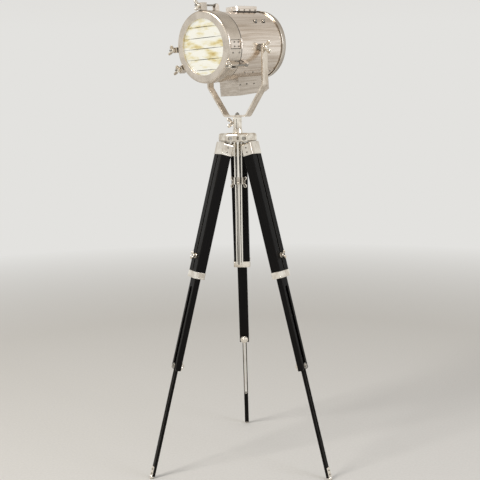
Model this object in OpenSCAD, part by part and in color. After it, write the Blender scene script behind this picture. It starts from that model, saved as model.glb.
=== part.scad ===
// Spotlight floor lamp on a folding, telescopic tripod. Millimetres, +Z up, floor at z = 0.
// One leg points straight back (+Y) and two point forward. The head faces front left.
// Along a leg, distances are measured down from the leg's hinge.

/* [Tripod] */
// Length of a leg from its hinge to the floor
leg_len = 1225; // [1150:5:1300]
// Lean of each leg from the vertical, in degrees
leg_spread = 14.86; // [13:0.1:17]
// Distance of each leg hinge from the mast's axis
hinge_r = 45; // [45:0.5:50]
// Diameter of the leg hinge bolts
hinge_bolt_d = 8; // [6:0.5:10]
// Width of the hub's arm over each hinge
arm_w = 60; // [54:1:64]
// Width of the leg's hinge tongue
tongue_w = 35; // [28:1:40]
// Radius of the tongue's round end
tongue_r = 10; // [9:0.25:10.5]
// Height of the hub's arms above the hinge
arm_rise = 19; // [16:0.5:24]
// Depth of the hub's arms below the hinge
arm_drop = 10; // [8:0.5:11]
// Radius of the hub's round body
hub_r = 22; // [20:0.5:26]
// Height of the hub's round body
hub_h = 24; // [20:1:30]
// Height of the flare on top of the hub
flare_h = 22; // [16:1:30]
// Rounding of the hub's arms
arm_round = 9; // [6:0.5:9]

/* [Leg sections] */
// Width of the paired rails, across the leg
rail_w = 59; // [54:1:60]
// Depth of the rails, from the leg's inner to its outer face
rail_d = 38; // [34:1:40]
// Where the rails start
rail_top = 26; // [26:1:30]
// Where the rails end
rail_end = 497; // [480:1:520]
// Width of the slot between the rails
rail_slot = 7.4; // [7:0.2:10]
// Corner radius of the rails
rail_corner = 3; // [1:0.5:5]
// Where the cap on the rails starts
cap_top = 16; // [16:0.5:17]
// Where the cap ends
cap_end = 60; // [50:1:75]
// Wall of the cap and of the band round the rails
cap_wall = 1.5; // [1:0.25:3]
// Height of the band round the rails' lower end
band_h = 20; // [14:1:30]
// Thickness of the band's lip under the rails
band_lip = 3; // [2:0.5:5]
// Width of the middle bar
mid_w = 36; // [33:0.5:38]
// Depth of the middle bar
mid_d = 22; // [18:0.5:24]
// Where the middle bar starts
mid_top = 395; // [380:1:405]
// Where the middle bar ends
mid_end = 832; // [800:1:860]
// Where the channel in the middle bar starts
fork_top = 530; // [515:1:535]
// Thickness of the middle bar's back wall behind the lower bar
mid_back = 4; // [2.5:0.25:4.5]
// Width of the lower bar
low_w = 16; // [14:0.5:18]
// Depth of the lower bar
low_d = 11; // [8:0.5:14]
// Length of the lower bar above the end of the middle bar
low_lap = 42; // [34:1:60]
// Length of the slot in the lower bar
low_slot_len = 264; // [255:1:280]
// Width of the slot in the lower bar
low_slot_w = 6.4; // [6.2:0.1:8]
// Sideways gap between sections that slide in one another
slide_gap = 0.3; // [0.3:0.05:0.6]
// Radius of the round toe under each leg
toe_r = 8.5; // [7:0.5:10]
// Height of the toe's centre above the floor
toe_h = 6; // [4:0.5:6.5]
// Length of the shoe plate on the lower bar
shoe_len = 38; // [25:1:60]
// Thickness of the shoe plate
shoe_t = 1.5; // [1:0.25:2.5]

/* [Clamp screws] */
// Diameter of the wing screw in the rails' slot
upper_stud_d = 6; // [5:0.5:6.5]
// Distance of that screw from the top of the middle bar
upper_stud_in = 28; // [14:1:34]
// Diameter of the clamp bolt in the lower bar's slot
lower_bolt_d = 5.6; // [4.5:0.1:5.8]
// Distance of the clamp bolt from the end of the middle bar
lower_bolt_in = 14; // [10:1:20]
// Diameter of the round clamp knob
lower_knob_d = 31; // [26:1:36]
// Span of the small wing screws
wing_span = 40; // [28:1:44]
// Thickness of the screws' wings
wing_t = 3.6; // [2.5:0.1:5]
// Free gap between a knob and the face that it clamps
knob_gap = 0.4; // [0.3:0.05:0.8]

/* [Mast] */
// Outer diameter of the sliding mast
mast_d = 24.4; // [20:0.2:25]
// Wall of the mast tube
mast_wall = 1.6; // [1.2:0.1:3]
// Length of the mast
mast_len = 512; // [470:1:560]
// Outer diameter of the sleeve under the hub
sleeve_d = 27.6; // [27.2:0.2:30]
// How far the sleeve hangs below the hinges
sleeve_drop = 150; // [100:1:200]
// Outer diameter of the collar on the sleeve's end
collar_d = 32; // [30.5:0.5:36]
// Height of the collar
collar_h = 25; // [20:1:34]
// How far the sleeve reaches into the collar
collar_lap = 13; // [8:1:16]
// Running clearance of round fits, on the radius
fit = 0.05; // [0.03:0.01:0.1]

/* [Yoke] */
// Outer diameter of the socket on the mast
socket_d = 30.4; // [28:0.2:34]
// Height of the socket
socket_h = 40; // [34:1:60]
// Thickness of the socket's closed top
socket_top = 12; // [8:1:16]
// Width of the slit in the socket
slit_w = 1.6; // [1:0.1:3]
// Gap between bodies that turn over one another
turn_gap = 0.5; // [0.3:0.1:1]
// Width of the yoke's flat bar
yoke_w = 28; // [22:1:34]
// Thickness of the yoke's flat bar
yoke_t = 6; // [4:0.5:8]
// Distance of the yoke's arms, at their middle, from the drum
yoke_clear = 12; // [11:0.5:18]
// Height from the underside of the yoke to the tilt axis, above one drum radius
yoke_room = 115; // [110:1:146]
// Height of the arms' bend above the yoke's base
bend_rise = 103; // [90:1:115]
// Half the length of the yoke's flat base
base_half = 49; // [40:1:60]
// Bend radius of the flat bar, at its middle
bend_r = 14; // [10:1:20]
// Diameter of the bolt through the yoke's base
yoke_bolt_d = 8; // [6:0.5:10]
// Diameter of the studs on the tilt axis
pivot_d = 10; // [8:0.5:12]
// Direction in which the head faces, in degrees from +X
head_az = 232; // [220:1:245]
// Angle by which the head looks down
head_dip = 5; // [0:0.5:8]
// Height of the drum's axis above the tilt axis
drum_rise = 14; // [0:1:20]

/* [Head] */
// Radius of the drum
drum_r = 114; // [108:1:115]
// Wall of the drum
drum_wall = 1.5; // [1:0.1:3]
// Distance from the tilt axis to the drum's front end
drum_front = 106; // [96:1:112]
// Distance from the tilt axis to the back of the rear cover
drum_back = 130; // [122:1:136]
// Thickness of the rear cover
cover_t = 3; // [2:0.5:4]
// Width of the rear cover's rim
cover_rim = 18; // [10:0.5:20]
// Thickness of the rim over the drum
rim_t = 4; // [2.5:0.5:4]
// How much wider the front door is than the drum, on the radius
door_over = 4.5; // [3.5:0.5:7]
// Length of the front door, from its rear edge to its face
door_len = 62; // [54:1:80]
// Wall of the front door
door_wall = 2; // [1.5:0.25:2.5]
// Rounding of the door's front edge
door_round = 8; // [5:0.5:12]
// Width of the door's face round the glass
bezel_w = 26.5; // [20:0.5:34]
// How far the glass is set back from the door's face
glass_back = 8; // [5:0.5:12]
// Thickness of the glass strips
glass_t = 4; // [3:0.25:5]
// Height of one glass strip
strip_h = 35; // [30:1:40]
// Height of the lowest joint between strips, below the centre
strip_low = 74.5; // [70:0.5:78]
// Gap between glass strips
strip_gap = 0.8; // [0.5:0.1:2]
// How far the glass reaches under the door's lip
glass_lap = 3; // [2:0.5:5]
// How much smaller the reflector's mouth is than the drum, on the radius
mirror_in = 22; // [14:1:34]
// Focal length of the reflector, as a share of its mouth's radius
mirror_share = 0.209; // [0.18:0.001:0.26]
// Radius of the hole in the reflector
mirror_hole = 28; // [27:0.5:32]
// Thickness of the reflector
mirror_t = 1.5; // [1:0.25:2]
// Radius of the bulb
bulb_r = 30; // [25:0.5:32]
// Distance from the bulb's middle to the end of its cap
bulb_back = 76; // [72:1:84]
// Distance of the bulb's middle ahead of the bottom of the reflector
bulb_in = 25; // [22:0.5:28]
// Diameter of the screw cap on the bulb
bulb_cap_d = 26; // [26:0.5:27]

/* [Vent and control box] */
// Length of the vent cap
vent_len = 130; // [100:1:134]
// Width of the vent cap
vent_w = 50; // [44:1:64]
// Height of the vent cap's lower edge above the top of the drum
vent_gap = 1; // [0.5:0.5:12]
// Height of the vent cap, over its arch
vent_h = 20; // [16:1:30]
// Distance from the tilt axis back to the middle of the vent cap
vent_back = 43; // [36:1:45]
// Radius of the arch across the vent cap
vent_arch = 80; // [60:1:140]
// Corner radius of the vent cap
vent_corner = 18; // [10:1:20]
// Sheet thickness of the vent cap and the control box
sheet_t = 1.5; // [1:0.25:2.5]
// Front of the control box, ahead of the tilt axis
box_front = 50; // [40:1:70]
// Depth of the control box below the drum
box_deep = 54; // [44:1:60]
// How much higher the box's floor lies at the rear
box_slope = 6; // [0:0.5:10]
// Width of the control box
box_w = 88; // [60:1:94]
// Length of the sloping lower rear corner
chamfer_x = 20; // [10:1:30]
// Height of the sloping lower rear corner
chamfer_z = 9; // [6:1:16]
// Thread diameter of the cable gland
gland_d = 14; // [10:0.5:16]

/* [Door latches] */
// Distance of the swing bolts' middle from the drum
rod_rise = 21; // [19:0.5:26]
// Diameter of the swing bolts
rod_d = 6; // [5:0.25:7]
// Length of a swing bolt from its pin
rod_len = 100; // [96:1:112]
// Distance of a swing bolt's pin behind the drum's front end
pin_back = 17; // [14:0.5:20]
// Diameter of the swing bolts' pins
pin_d = 5; // [4:0.25:6]
// Thickness of each cheek of the rear lugs
cheek_t = 3.5; // [2.5:0.25:5]
// Length of the forked lugs on the door
fork_len = 28; // [16:1:34]
// Width of the forked lugs
fork_w = 18; // [16:0.5:22]
// Width of the notch in the forked lugs
notch_w = 8; // [7.8:0.2:9]
// Gap between a closed wing nut and its lug
nut_gap = 0.8; // [0.7:0.1:1.2]
// Length of a wing nut, up to the tips of its wings
nut_reach = 22; // [19:0.5:35]

/* [Hidden] */
$fn = 64;
e = 0.01;
nickel = [0.84, 0.81, 0.76];
steel = [0.7, 0.69, 0.66];
lacquer = [0.09, 0.085, 0.08];
white_glass = [0.93, 0.92, 0.86, 0.6];
ceramic = [0.95, 0.94, 0.9];
hinge_z = leg_len * cos(leg_spread);
legs = [["rear", 90], ["left", 210], ["right", 330]];
hub_top = hinge_z + hub_h / 2 + flare_h;
mast_r = mast_d / 2;
sleeve_bottom = hinge_z - sleeve_drop;
collar_bottom = sleeve_bottom - (collar_h - collar_lap);
collar_mid = collar_bottom + collar_h / 4;
socket_z = hub_top + turn_gap;
yoke_z = socket_z + socket_h;
bore_top = yoke_z - socket_top;
mast_top = bore_top - 1;
yoke_half = drum_r + yoke_clear;
yoke_rise = drum_r + yoke_room;
pivot_z = yoke_z + yoke_rise;
door_r = drum_r + door_over;
glass_open = door_r - bezel_w;
mirror_r = drum_r - mirror_in;
mirror_f = mirror_r * mirror_share;
vent_z = drum_r + vent_gap;
box_drop = drum_r + box_deep;
rod_r = drum_r + rod_rise;
arm_out = tongue_r * 1.5;
cap_w = rail_w + 2 * cap_wall;
cap_d = rail_d + 2 * cap_wall;
cavity_w = mid_w + 2 * slide_gap;
cavity_d = mid_d + 2 * slide_gap;
upper_stud_a = mid_top + upper_stud_in;
lower_bolt_a = mid_end - lower_bolt_in;
low_top = mid_end - low_lap;
low_slot_top = lower_bolt_a - low_slot_w / 2 - 6;
toe_x = low_d / 2 - 2.5;
toe_a = (hinge_z + toe_x * sin(leg_spread) - toe_h) / cos(leg_spread);
foot_r = hinge_r + toe_a * sin(leg_spread) + toe_x * cos(leg_spread);
door_rear = drum_front + 2;
door_face = door_rear + door_len;
glass_x = door_face - glass_back;
glass_r = glass_open + glass_lap;
drum_end = -(drum_back - cover_t);
rim_front = -(drum_back - cover_rim);
pin_x = drum_front - pin_back;
fork_front = door_face;
nut_x = fork_front + nut_gap;
boss_end = yoke_half - yoke_t / 2 - knob_gap;
knob_y = yoke_half + yoke_t / 2 + knob_gap;
mirror_x = drum_front - 1 - mirror_r * mirror_r / (4 * mirror_f);
bulb_x = mirror_x + bulb_in;
holder_front = bulb_x - bulb_back + 26;
holder_back = holder_front - 42;
box_rear = rim_front;
clocks = [0, 120, 240, 270];
ear_turns = [0, 60, 35, 65];
rear_reach = foot_r + toe_r;
front_reach = -((nut_x + nut_reach) * cos(head_dip) + (drum_rise - rod_r / 2) * sin(head_dip)) * sin(head_az)
    - (rod_r * sin(120) + 9) * cos(head_az);
mast_y = -(rear_reach - front_reach) / 2;
echo(mast_y = mast_y, hinge_z = hinge_z, pivot_z = pivot_z, foot_r = foot_r, toe_a = toe_a);
echo(collar_mid = collar_mid, socket_z = socket_z, yoke_z = yoke_z, upper = upper_stud_a, lower = lower_bolt_a);
echo(pin_x = pin_x, nut_x = nut_x, hub_top = hub_top, mast_r = mast_r);
echo(rod_r = rod_r, knob_y = knob_y, head_dip = head_dip, drum_rise = drum_rise, head_az = head_az);

// ---- Places ----

// The mast's axis
module on_mast() {
    translate([0, mast_y, 0]) children();
}

// A leg's frame: x outward, y across the leg, -z down along the leg
module on_leg(az) {
    on_mast() rotate([0, 0, az]) translate([hinge_r, 0, hinge_z]) rotate([0, -leg_spread, 0]) children();
}

// The head's frame: x forward along the drum's axis, y to the lamp's left, the tilt axis drum_rise below it
module on_head() {
    on_mast() translate([0, 0, pivot_z]) rotate([0, head_dip, head_az]) translate([0, 0, drum_rise]) children();
}

// A clock position on the head, seen from the front: z points outward
module at_clock(a) {
    rotate([-a, 0, 0]) children();
}

// ---- Shared shapes ----

// Rounded rectangle about the origin
module round_rect(x, y, r) {
    square([x - 2 * r, y], center = true);
    square([x, y - 2 * r], center = true);
    for (i = [-1, 1], j = [-1, 1]) {
        translate([i * (x / 2 - r), j * (y / 2 - r)]) circle(r = r);
    }
}

// Bar down the leg from a0 to a1, d deep and w wide
module leg_bar(a0, a1, d, w, r) {
    translate([0, 0, -a1]) linear_extrude(a1 - a0) round_rect(d, w, r);
}

// Flat profile in x and z, extruded w wide about y = 0
module across(w) {
    rotate([90, 0, 0]) linear_extrude(w, center = true) children();
}

// Head of a wing screw along +z: a boss with two ears that lean forward
module wing_head(boss_r, boss_h, span, reach, t, ear_r) {
    cylinder(r = boss_r, h = boss_h);
    across(t) {
        for (s = [-1, 1]) {
            translate([s * (span / 2 - ear_r), reach - ear_r]) circle(r = ear_r);
            polygon([[0, 1], [s * boss_r * 0.95, 1], [s * (span / 2), reach - ear_r],
                [s * (span / 2 - 2 * ear_r), reach - ear_r], [0, boss_h * 0.8]]);
        }
    }
}

// ---- Hub ----

// One hooded arm of the hub, outer faces only
module arm_block() {
    r = arm_round;
    f = r * 0.45;
    translate([hinge_r, 0, hinge_z]) intersection() {
        across(arm_w) {
            translate([-hinge_r, -arm_drop]) square([hinge_r + arm_out - r, arm_drop + arm_rise]);
            translate([0, f - arm_drop]) square([arm_out, arm_rise + arm_drop - r - f]);
            translate([arm_out - r, arm_rise - r]) circle(r = r);
            translate([arm_out - r, -arm_drop]) square([r - f, f + 1]);
            translate([arm_out - f, f - arm_drop]) circle(r = f);
        }
        rotate([90, 0, 90]) translate([0, 0, -hinge_r - e]) linear_extrude(hinge_r + arm_out + 1) {
            translate([-arm_w / 2, -arm_drop]) square([arm_w, arm_drop + arm_rise - r]);
            translate([-arm_w / 2 + r, 0]) square([arm_w - 2 * r, arm_rise]);
            for (s = [-1, 1]) {
                translate([s * (arm_w / 2 - r), arm_rise - r]) circle(r = r);
            }
        }
    }
}

// Room for the leg's tongue, from folded to spread
module tongue_room() {
    g = tongue_r + 0.6;
    translate([hinge_r, 0, hinge_z]) across(tongue_w + 1) {
        circle(r = g);
        translate([-1.75 * g, -4 * g]) square([1.75 * g, 4.6 * g]);
        translate([-g, -4 * g]) square([2 * g, 4 * g]);
        rotate(leg_spread) translate([-g, -4 * g]) square([2 * g, 4 * g]);
    }
}

module hub_casting() color(nickel) on_mast() difference() {
    union() {
        translate([0, 0, hinge_z - hub_h / 2]) cylinder(r = hub_r, h = hub_h);
        translate([0, 0, hinge_z + hub_h / 2]) cylinder(r1 = socket_d * 0.648, r2 = socket_d / 2, h = flare_h);
        for (l = legs) rotate([0, 0, l[1]]) arm_block();
    }
    translate([0, 0, hinge_z - hub_h]) cylinder(r = sleeve_d / 2, h = hub_h + 1);
    translate([0, 0, hinge_z - hub_h]) cylinder(r = mast_r + fit, h = 3 * hub_h + flare_h);
    for (l = legs) rotate([0, 0, l[1]]) {
        tongue_room();
        translate([hinge_r, 0, hinge_z]) rotate([90, 0, 0])
            cylinder(r = hinge_bolt_d / 2 + fit, h = arm_w + 10, center = true);
    }
}

module leg_hinge_bolts() color(steel) on_mast() for (l = legs) {
    rotate([0, 0, l[1]]) translate([hinge_r, 0, hinge_z]) rotate([90, 0, 0]) {
        cylinder(r = hinge_bolt_d / 2, h = arm_w + hinge_bolt_d / 4, center = true);
        translate([0, 0, arm_w / 2]) cylinder(r = hinge_bolt_d * 0.85, h = hinge_bolt_d * 0.44);
        translate([0, 0, -arm_w / 2 - hinge_bolt_d / 2]) cylinder(r = hinge_bolt_d * 0.9, h = hinge_bolt_d / 2, $fn = 6);
    }
}

module mast_sleeve() color(nickel) on_mast() difference() {
    translate([0, 0, sleeve_bottom]) cylinder(r = sleeve_d / 2, h = hinge_z + 1 - sleeve_bottom);
    translate([0, 0, sleeve_bottom - 1]) cylinder(r = mast_r + fit, h = sleeve_drop + 10);
}

module sleeve_collar() color(nickel) on_mast() difference() {
    translate([0, 0, collar_bottom]) cylinder(r = collar_d / 2, h = collar_h);
    translate([0, 0, sleeve_bottom]) cylinder(r = sleeve_d / 2, h = collar_h);
    translate([0, 0, collar_bottom - 1]) cylinder(r = mast_r + fit, h = collar_h);
    for (a = [30, 150, 270]) translate([0, 0, collar_mid]) rotate([0, 0, a]) rotate([0, 90, 0])
        cylinder(r = 3 + fit, h = collar_d);
}

// Wing screw in the collar, wings upright
module collar_screw(a) {
    color(nickel) on_mast() translate([0, 0, collar_mid]) rotate([0, 0, a]) rotate([0, 90, 0]) {
        translate([0, 0, mast_r + 0.3]) cylinder(r = 3, h = collar_d / 2 - mast_r + 3);
        translate([0, 0, collar_d / 2 + 2]) wing_head(4.4, 9, wing_span, 16, wing_t, 6.5);
    }
}

module mast_tube() color(nickel) on_mast() difference() {
    translate([0, 0, mast_top - mast_len]) cylinder(r = mast_r, h = mast_len);
    translate([0, 0, mast_top - mast_len + 3]) cylinder(r = mast_r - mast_wall, h = mast_len);
}

// ---- Yoke ----

module yoke_socket() color(nickel) on_mast() difference() {
    translate([0, 0, socket_z]) cylinder(r = socket_d / 2, h = socket_h);
    translate([0, 0, socket_z - 1]) cylinder(r = mast_r + fit, h = bore_top - socket_z + 1);
    translate([0, 0, bore_top - 2]) cylinder(r = yoke_bolt_d / 2 + fit, h = socket_top + 4);
    rotate([0, 0, head_az + 29]) translate([mast_r - 2, -slit_w / 2, socket_z - 1])
        cube([socket_d, slit_w, bore_top - socket_z + 5]);
    translate([0, 0, socket_z + socket_h / 2]) rotate([0, 0, head_az - 50]) rotate([0, 90, 0])
        cylinder(r = 3 + fit, h = socket_d);
}

module socket_screw() color(nickel) on_mast() {
    translate([0, 0, socket_z + socket_h / 2]) rotate([0, 0, head_az - 50]) rotate([0, 90, 0]) {
        translate([0, 0, mast_r + 0.3]) cylinder(r = 3, h = socket_d / 2 - mast_r + 3);
        translate([0, 0, socket_d / 2 + 1.5]) wing_head(5, 9, 34, 20, 5, 6.5);
    }
}

// Corners of the yoke's middle line, from the base's end up to the tilt axis
yoke_line = [[0, yoke_t / 2], [base_half, yoke_t / 2], [yoke_half, yoke_t / 2 + bend_rise], [yoke_half, yoke_rise]];
function unit(v) = v / norm(v);
// Points of a circular bend at corner b, between a and c
function bend(a, b, c, r, n = 8) =
    let (u = unit(a - b), v = unit(c - b), h = acos(u * v) / 2, d = r / tan(h))
    let (m = b + unit(u + v) * r / sin(h), p = b + u * d - m, q = b + v * d - m, t = 180 - 2 * h)
    [for (i = [0 : n]) m + (p * sin(t * (1 - i / n)) + q * sin(t * i / n)) / sin(t)];
half_path = concat(bend(yoke_line[0], yoke_line[1], yoke_line[2], bend_r),
    bend(yoke_line[1], yoke_line[2], yoke_line[3], bend_r), [yoke_line[3]]);
half_n = len(half_path);
yoke_path = concat([for (i = [half_n - 1 : -1 : 0]) [-half_path[i][0], half_path[i][1]]], half_path);
// Unit normal of the path at point i: straight stretches keep their own
function side_of(p, i) =
    let (a = p[max(i - 1, 0)], b = p[i], c = p[min(i + 1, len(p) - 1)])
    let (u = norm(b - a) > 0 ? unit(b - a) : unit(c - b), v = norm(c - b) > 0 ? unit(c - b) : u, t = unit(u + v))
    [t[1], -t[0]] / (t * u);

module yoke_bracket() color(nickel) on_mast() translate([0, 0, yoke_z]) rotate([0, 0, head_az]) difference() {
    n = len(yoke_path) - 1;
    union() {
        rotate([90, 0, 90]) linear_extrude(yoke_w, center = true) polygon(concat(
            [for (i = [0 : n]) yoke_path[i] + side_of(yoke_path, i) * yoke_t / 2],
            [for (i = [n : -1 : 0]) yoke_path[i] - side_of(yoke_path, i) * yoke_t / 2]));
        for (s = [-1, 1]) translate([0, s * yoke_half, yoke_rise]) rotate([90, 0, 0])
            cylinder(r = yoke_w / 2, h = yoke_t, center = true);
    }
    rotate([0, 0, 20]) translate([0, 0, -1]) cylinder(r = yoke_bolt_d / 2 + 6 * fit, h = yoke_t + 2);
    for (s = [-1, 1]) translate([0, s * yoke_half, yoke_rise]) rotate([90, 0, 0])
        cylinder(r = pivot_d / 2 + fit, h = 3 * yoke_t, center = true);
}

module yoke_bolt() color(steel) on_mast() {
    translate([0, 0, bore_top + 0.5]) cylinder(r = yoke_bolt_d / 2, h = yoke_z + yoke_t + 2 - bore_top - 0.5);
    translate([0, 0, yoke_z + yoke_t]) cylinder(r = yoke_bolt_d * 1.1, h = 1.5);
    translate([0, 0, yoke_z + yoke_t + 1.5]) cylinder(r = yoke_bolt_d * 0.85, h = 5, $fn = 6);
    translate([0, 0, yoke_z + yoke_t + 6]) cylinder(r1 = yoke_bolt_d * 0.7, r2 = yoke_bolt_d * 0.35, h = 3.5);
}

// ---- Head ----

// Solid cylinder along x, from x0 to x1
module along(x0, x1, r) {
    translate([x0, 0, 0]) rotate([0, 90, 0]) cylinder(r = r, h = x1 - x0, $fn = 128);
}

// Revolved profile: first coordinate is the radius, second the position along x
module turned() {
    rotate([0, 90, 0]) rotate_extrude($fn = 128) children();
}

module drum_shell() color(nickel) on_head() {
    difference() {
        along(drum_end, drum_front, drum_r);
        along(drum_end - 1, drum_front + 1, drum_r - drum_wall);
        translate([-vent_back - vent_len / 4, -vent_w / 5, drum_r - 20]) cube([vent_len / 2, vent_w / 2.5, 40]);
        translate([-20, 0, -drum_r - 5]) cylinder(r = 9, h = 20);
        translate([0, 0, -drum_rise]) rotate([90, 0, 0]) cylinder(r = pivot_d / 2 + fit, h = 3 * drum_r, center = true);
    }
    // Lugs that hold the pins of the swing bolts
    for (a = clocks) at_clock(a) {
        difference() {
            for (s = [-1, 1]) translate([0, s * (rod_d / 2 + 1.6 + cheek_t / 2), 0]) across(cheek_t) {
                translate([pin_x - 8, drum_r - 6]) square([16, rod_r - drum_r + 6]);
                translate([pin_x, rod_r]) circle(r = 5.5);
            }
            along(0, drum_front + 9, drum_r - drum_wall / 2);
        }
        translate([pin_x, 0, rod_r]) rotate([90, 0, 0])
            cylinder(r = pin_d / 2, h = rod_d + 3.2 + cheek_t, center = true);
    }
}

module rear_cover() color(nickel) on_head() {
    turned() difference() {
        union() {
            translate([0, -drum_back]) square([drum_r + rim_t, cover_rim]);
            translate([0, -drum_back - 3]) square([drum_r - 34, 4]);
        }
        translate([0, drum_end]) square([drum_r, cover_rim]);
        translate([0, -drum_back - 1]) square([drum_r - 36, cover_t - 1]);
    }
    // Stand-offs that carry the lamp holder
    for (s = [-1, 1]) translate([0, s * 13, 0]) along(drum_end - 1, holder_back, 3.5);
}

// Outer curve of the reflector: position along x at radius r
function mirror_at(r) = mirror_x + r * r / (4 * mirror_f);

module reflector() color(nickel) on_head() turned() {
    n = 18;
    rs = [for (i = [0 : n]) mirror_hole + (mirror_r - mirror_hole) * i / n];
    rim = drum_r - drum_wall;
    face = mirror_at(mirror_r);
    polygon(concat([for (r = rs) [r, mirror_at(r)]],
        [[rim, face], [rim, face - mirror_t], [mirror_r, face - mirror_t]],
        [for (i = [n : -1 : 0]) [rs[i], mirror_at(rs[i]) - mirror_t * 1.5]]));
}

module lamp_holder() color(ceramic) on_head() turned() difference() {
    union() {
        translate([0, holder_back]) square([21, 26]);
        translate([0, holder_back + 8]) square([17.5, holder_front - holder_back - 8]);
    }
    translate([0, holder_front - 27]) square([bulb_cap_d / 2 + 0.4, 40]);
}

module bulb() color(white_glass) on_head() turned() intersection() {
    union() {
        translate([0, bulb_x]) circle(r = bulb_r);
        polygon([[0, holder_front], [bulb_cap_d / 2, holder_front], [bulb_cap_d / 2 + 1.5, holder_front + 8],
            [bulb_r * 0.86, bulb_x - bulb_r * 0.51], [0, bulb_x]]);
        translate([0, bulb_x - bulb_back]) square([bulb_cap_d / 2 - 0.4, 30]);
    }
    translate([0, -drum_back]) square([drum_r, 3 * drum_back]);
}

// Outer form of the vent cap, made smaller by t all round
module vent_form(t) {
    top = vent_z + vent_h - t;
    intersection() {
        translate([-vent_back, 0, vent_z - 1]) linear_extrude(vent_h + 5)
            round_rect(vent_len - 2 * t, vent_w - 2 * t, vent_corner - t);
        translate([-vent_back, 0, top - vent_arch]) rotate([0, 90, 0])
            cylinder(r = vent_arch, h = vent_len + 10, center = true, $fn = 128);
        translate([-vent_back, 0, top - 5 * vent_arch]) rotate([90, 0, 0])
            cylinder(r = 5 * vent_arch, h = vent_w + 10, center = true, $fn = 256);
        translate([-vent_back, 0, vent_z + vent_h]) cube([200, 200, 2 * vent_h], center = true);
    }
}

// Posts that carry the vent cap
module vent_posts() {
    for (i = [-1, 1], j = [-1, 1]) {
        translate([i * vent_len * 0.3 - vent_back, j * vent_w * 0.3, drum_r - 10]) cylinder(r = 3.5, h = vent_z + vent_h - drum_r + 10);
    }
}

module vent_cap() color(nickel) on_head() {
    difference() {
        vent_form(0);
        translate([0, 0, -1]) intersection() {
            translate([0, 0, 1]) vent_form(sheet_t);
            translate([-200, -100, 0]) cube([300, 200, 300]);
        }
        translate([0, 0, vent_z - 5]) translate([-vent_back, 0, 0]) linear_extrude(5 + 2)
            round_rect(vent_len - 2 * sheet_t, vent_w - 2 * sheet_t, vent_corner - sheet_t);
    }
    difference() {
        vent_posts();
        along(-200, 100, drum_r);
        translate([-200, -100, vent_z + 3]) cube([300, 200, 100]);
    }
    intersection() {
        vent_posts();
        vent_form(sheet_t / 2);
    }
}

// Side outline of the control box, drawn t inside its faces
module box_outline(t) {
    low_rear = box_slope * (box_front - box_rear - chamfer_x) / (box_front - box_rear);
    polygon([[box_front - t, -drum_r / 2], [box_front - t, t - box_drop],
        [box_rear + chamfer_x + t * 0.3, t + low_rear - box_drop],
        [box_rear + t, low_rear + chamfer_z + t * 0.6 - box_drop], [box_rear + t, -drum_r / 2]]);
}

module control_box() color(nickel) on_head() difference() {
    across(box_w - 2 * sheet_t) difference() {
        box_outline(0);
        box_outline(sheet_t);
    }
    along(-200, 200, drum_r);
    translate([box_rear - 5, 0, gland_z()]) rotate([0, 90, 0]) cylinder(r = gland_d / 2 + fit, h = 10);
}

module box_side_plates() color(nickel) on_head() difference() {
    for (s = [-1, 1]) translate([0, s * (box_w - sheet_t) / 2, 0]) across(sheet_t) box_outline(0);
    along(-200, 200, drum_r);
}

// Height of the gland's axis: clear of the cover's rim
function gland_z() = -(drum_r + rim_t + 1.5 + gland_d * 0.8);

module cable_gland() color(steel) on_head() translate([box_rear, 0, gland_z()]) rotate([0, -90, 0]) difference() {
    union() {
        translate([0, 0, -sheet_t - 3]) cylinder(r = gland_d / 2, h = sheet_t + 8);
        translate([0, 0, -sheet_t - 3]) cylinder(r = gland_d * 0.75, h = 3, $fn = 6);
        cylinder(r = gland_d * 0.78, h = 5, $fn = 6);
        translate([0, 0, 5]) cylinder(r = gland_d * 0.68, h = 7);
        translate([0, 0, 12]) cylinder(r1 = gland_d * 0.68, r2 = gland_d * 0.45, h = 4);
    }
    translate([0, 0, -10]) cylinder(r = gland_d / 4, h = 40);
}

module terminal_block() color(ceramic) on_head() difference() {
    translate([box_front - sheet_t - 14, -17, -drum_r - 28]) cube([14, 34, 18]);
    for (s = [-1, 0, 1]) translate([box_front - sheet_t - 15, s * 10, -drum_r - 19]) rotate([0, 90, 0])
        cylinder(r = 2.2, h = 10);
}

module pivot_studs() color(steel) on_head() for (s = [-1, 1]) scale([1, s, 1]) {
    difference() {
        translate([0, drum_r - 6, -drum_rise]) rotate([-90, 0, 0]) cylinder(r = pivot_d * 1.3, h = boss_end - drum_r + 6);
        along(-2 * pivot_d, 2 * pivot_d, drum_r);
    }
    translate([0, drum_r - 12, -drum_rise]) rotate([-90, 0, 0]) cylinder(r = pivot_d / 2, h = knob_y + 8 - drum_r + 12);
    difference() {
        translate([0, drum_r - 12, -drum_rise]) rotate([-90, 0, 0]) cylinder(r = pivot_d * 0.85, h = 11, $fn = 6);
        difference() {
            along(-2 * pivot_d, 2 * pivot_d, drum_r + 10);
            along(-3 * pivot_d, 3 * pivot_d, drum_r - drum_wall);
        }
    }
}

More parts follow.
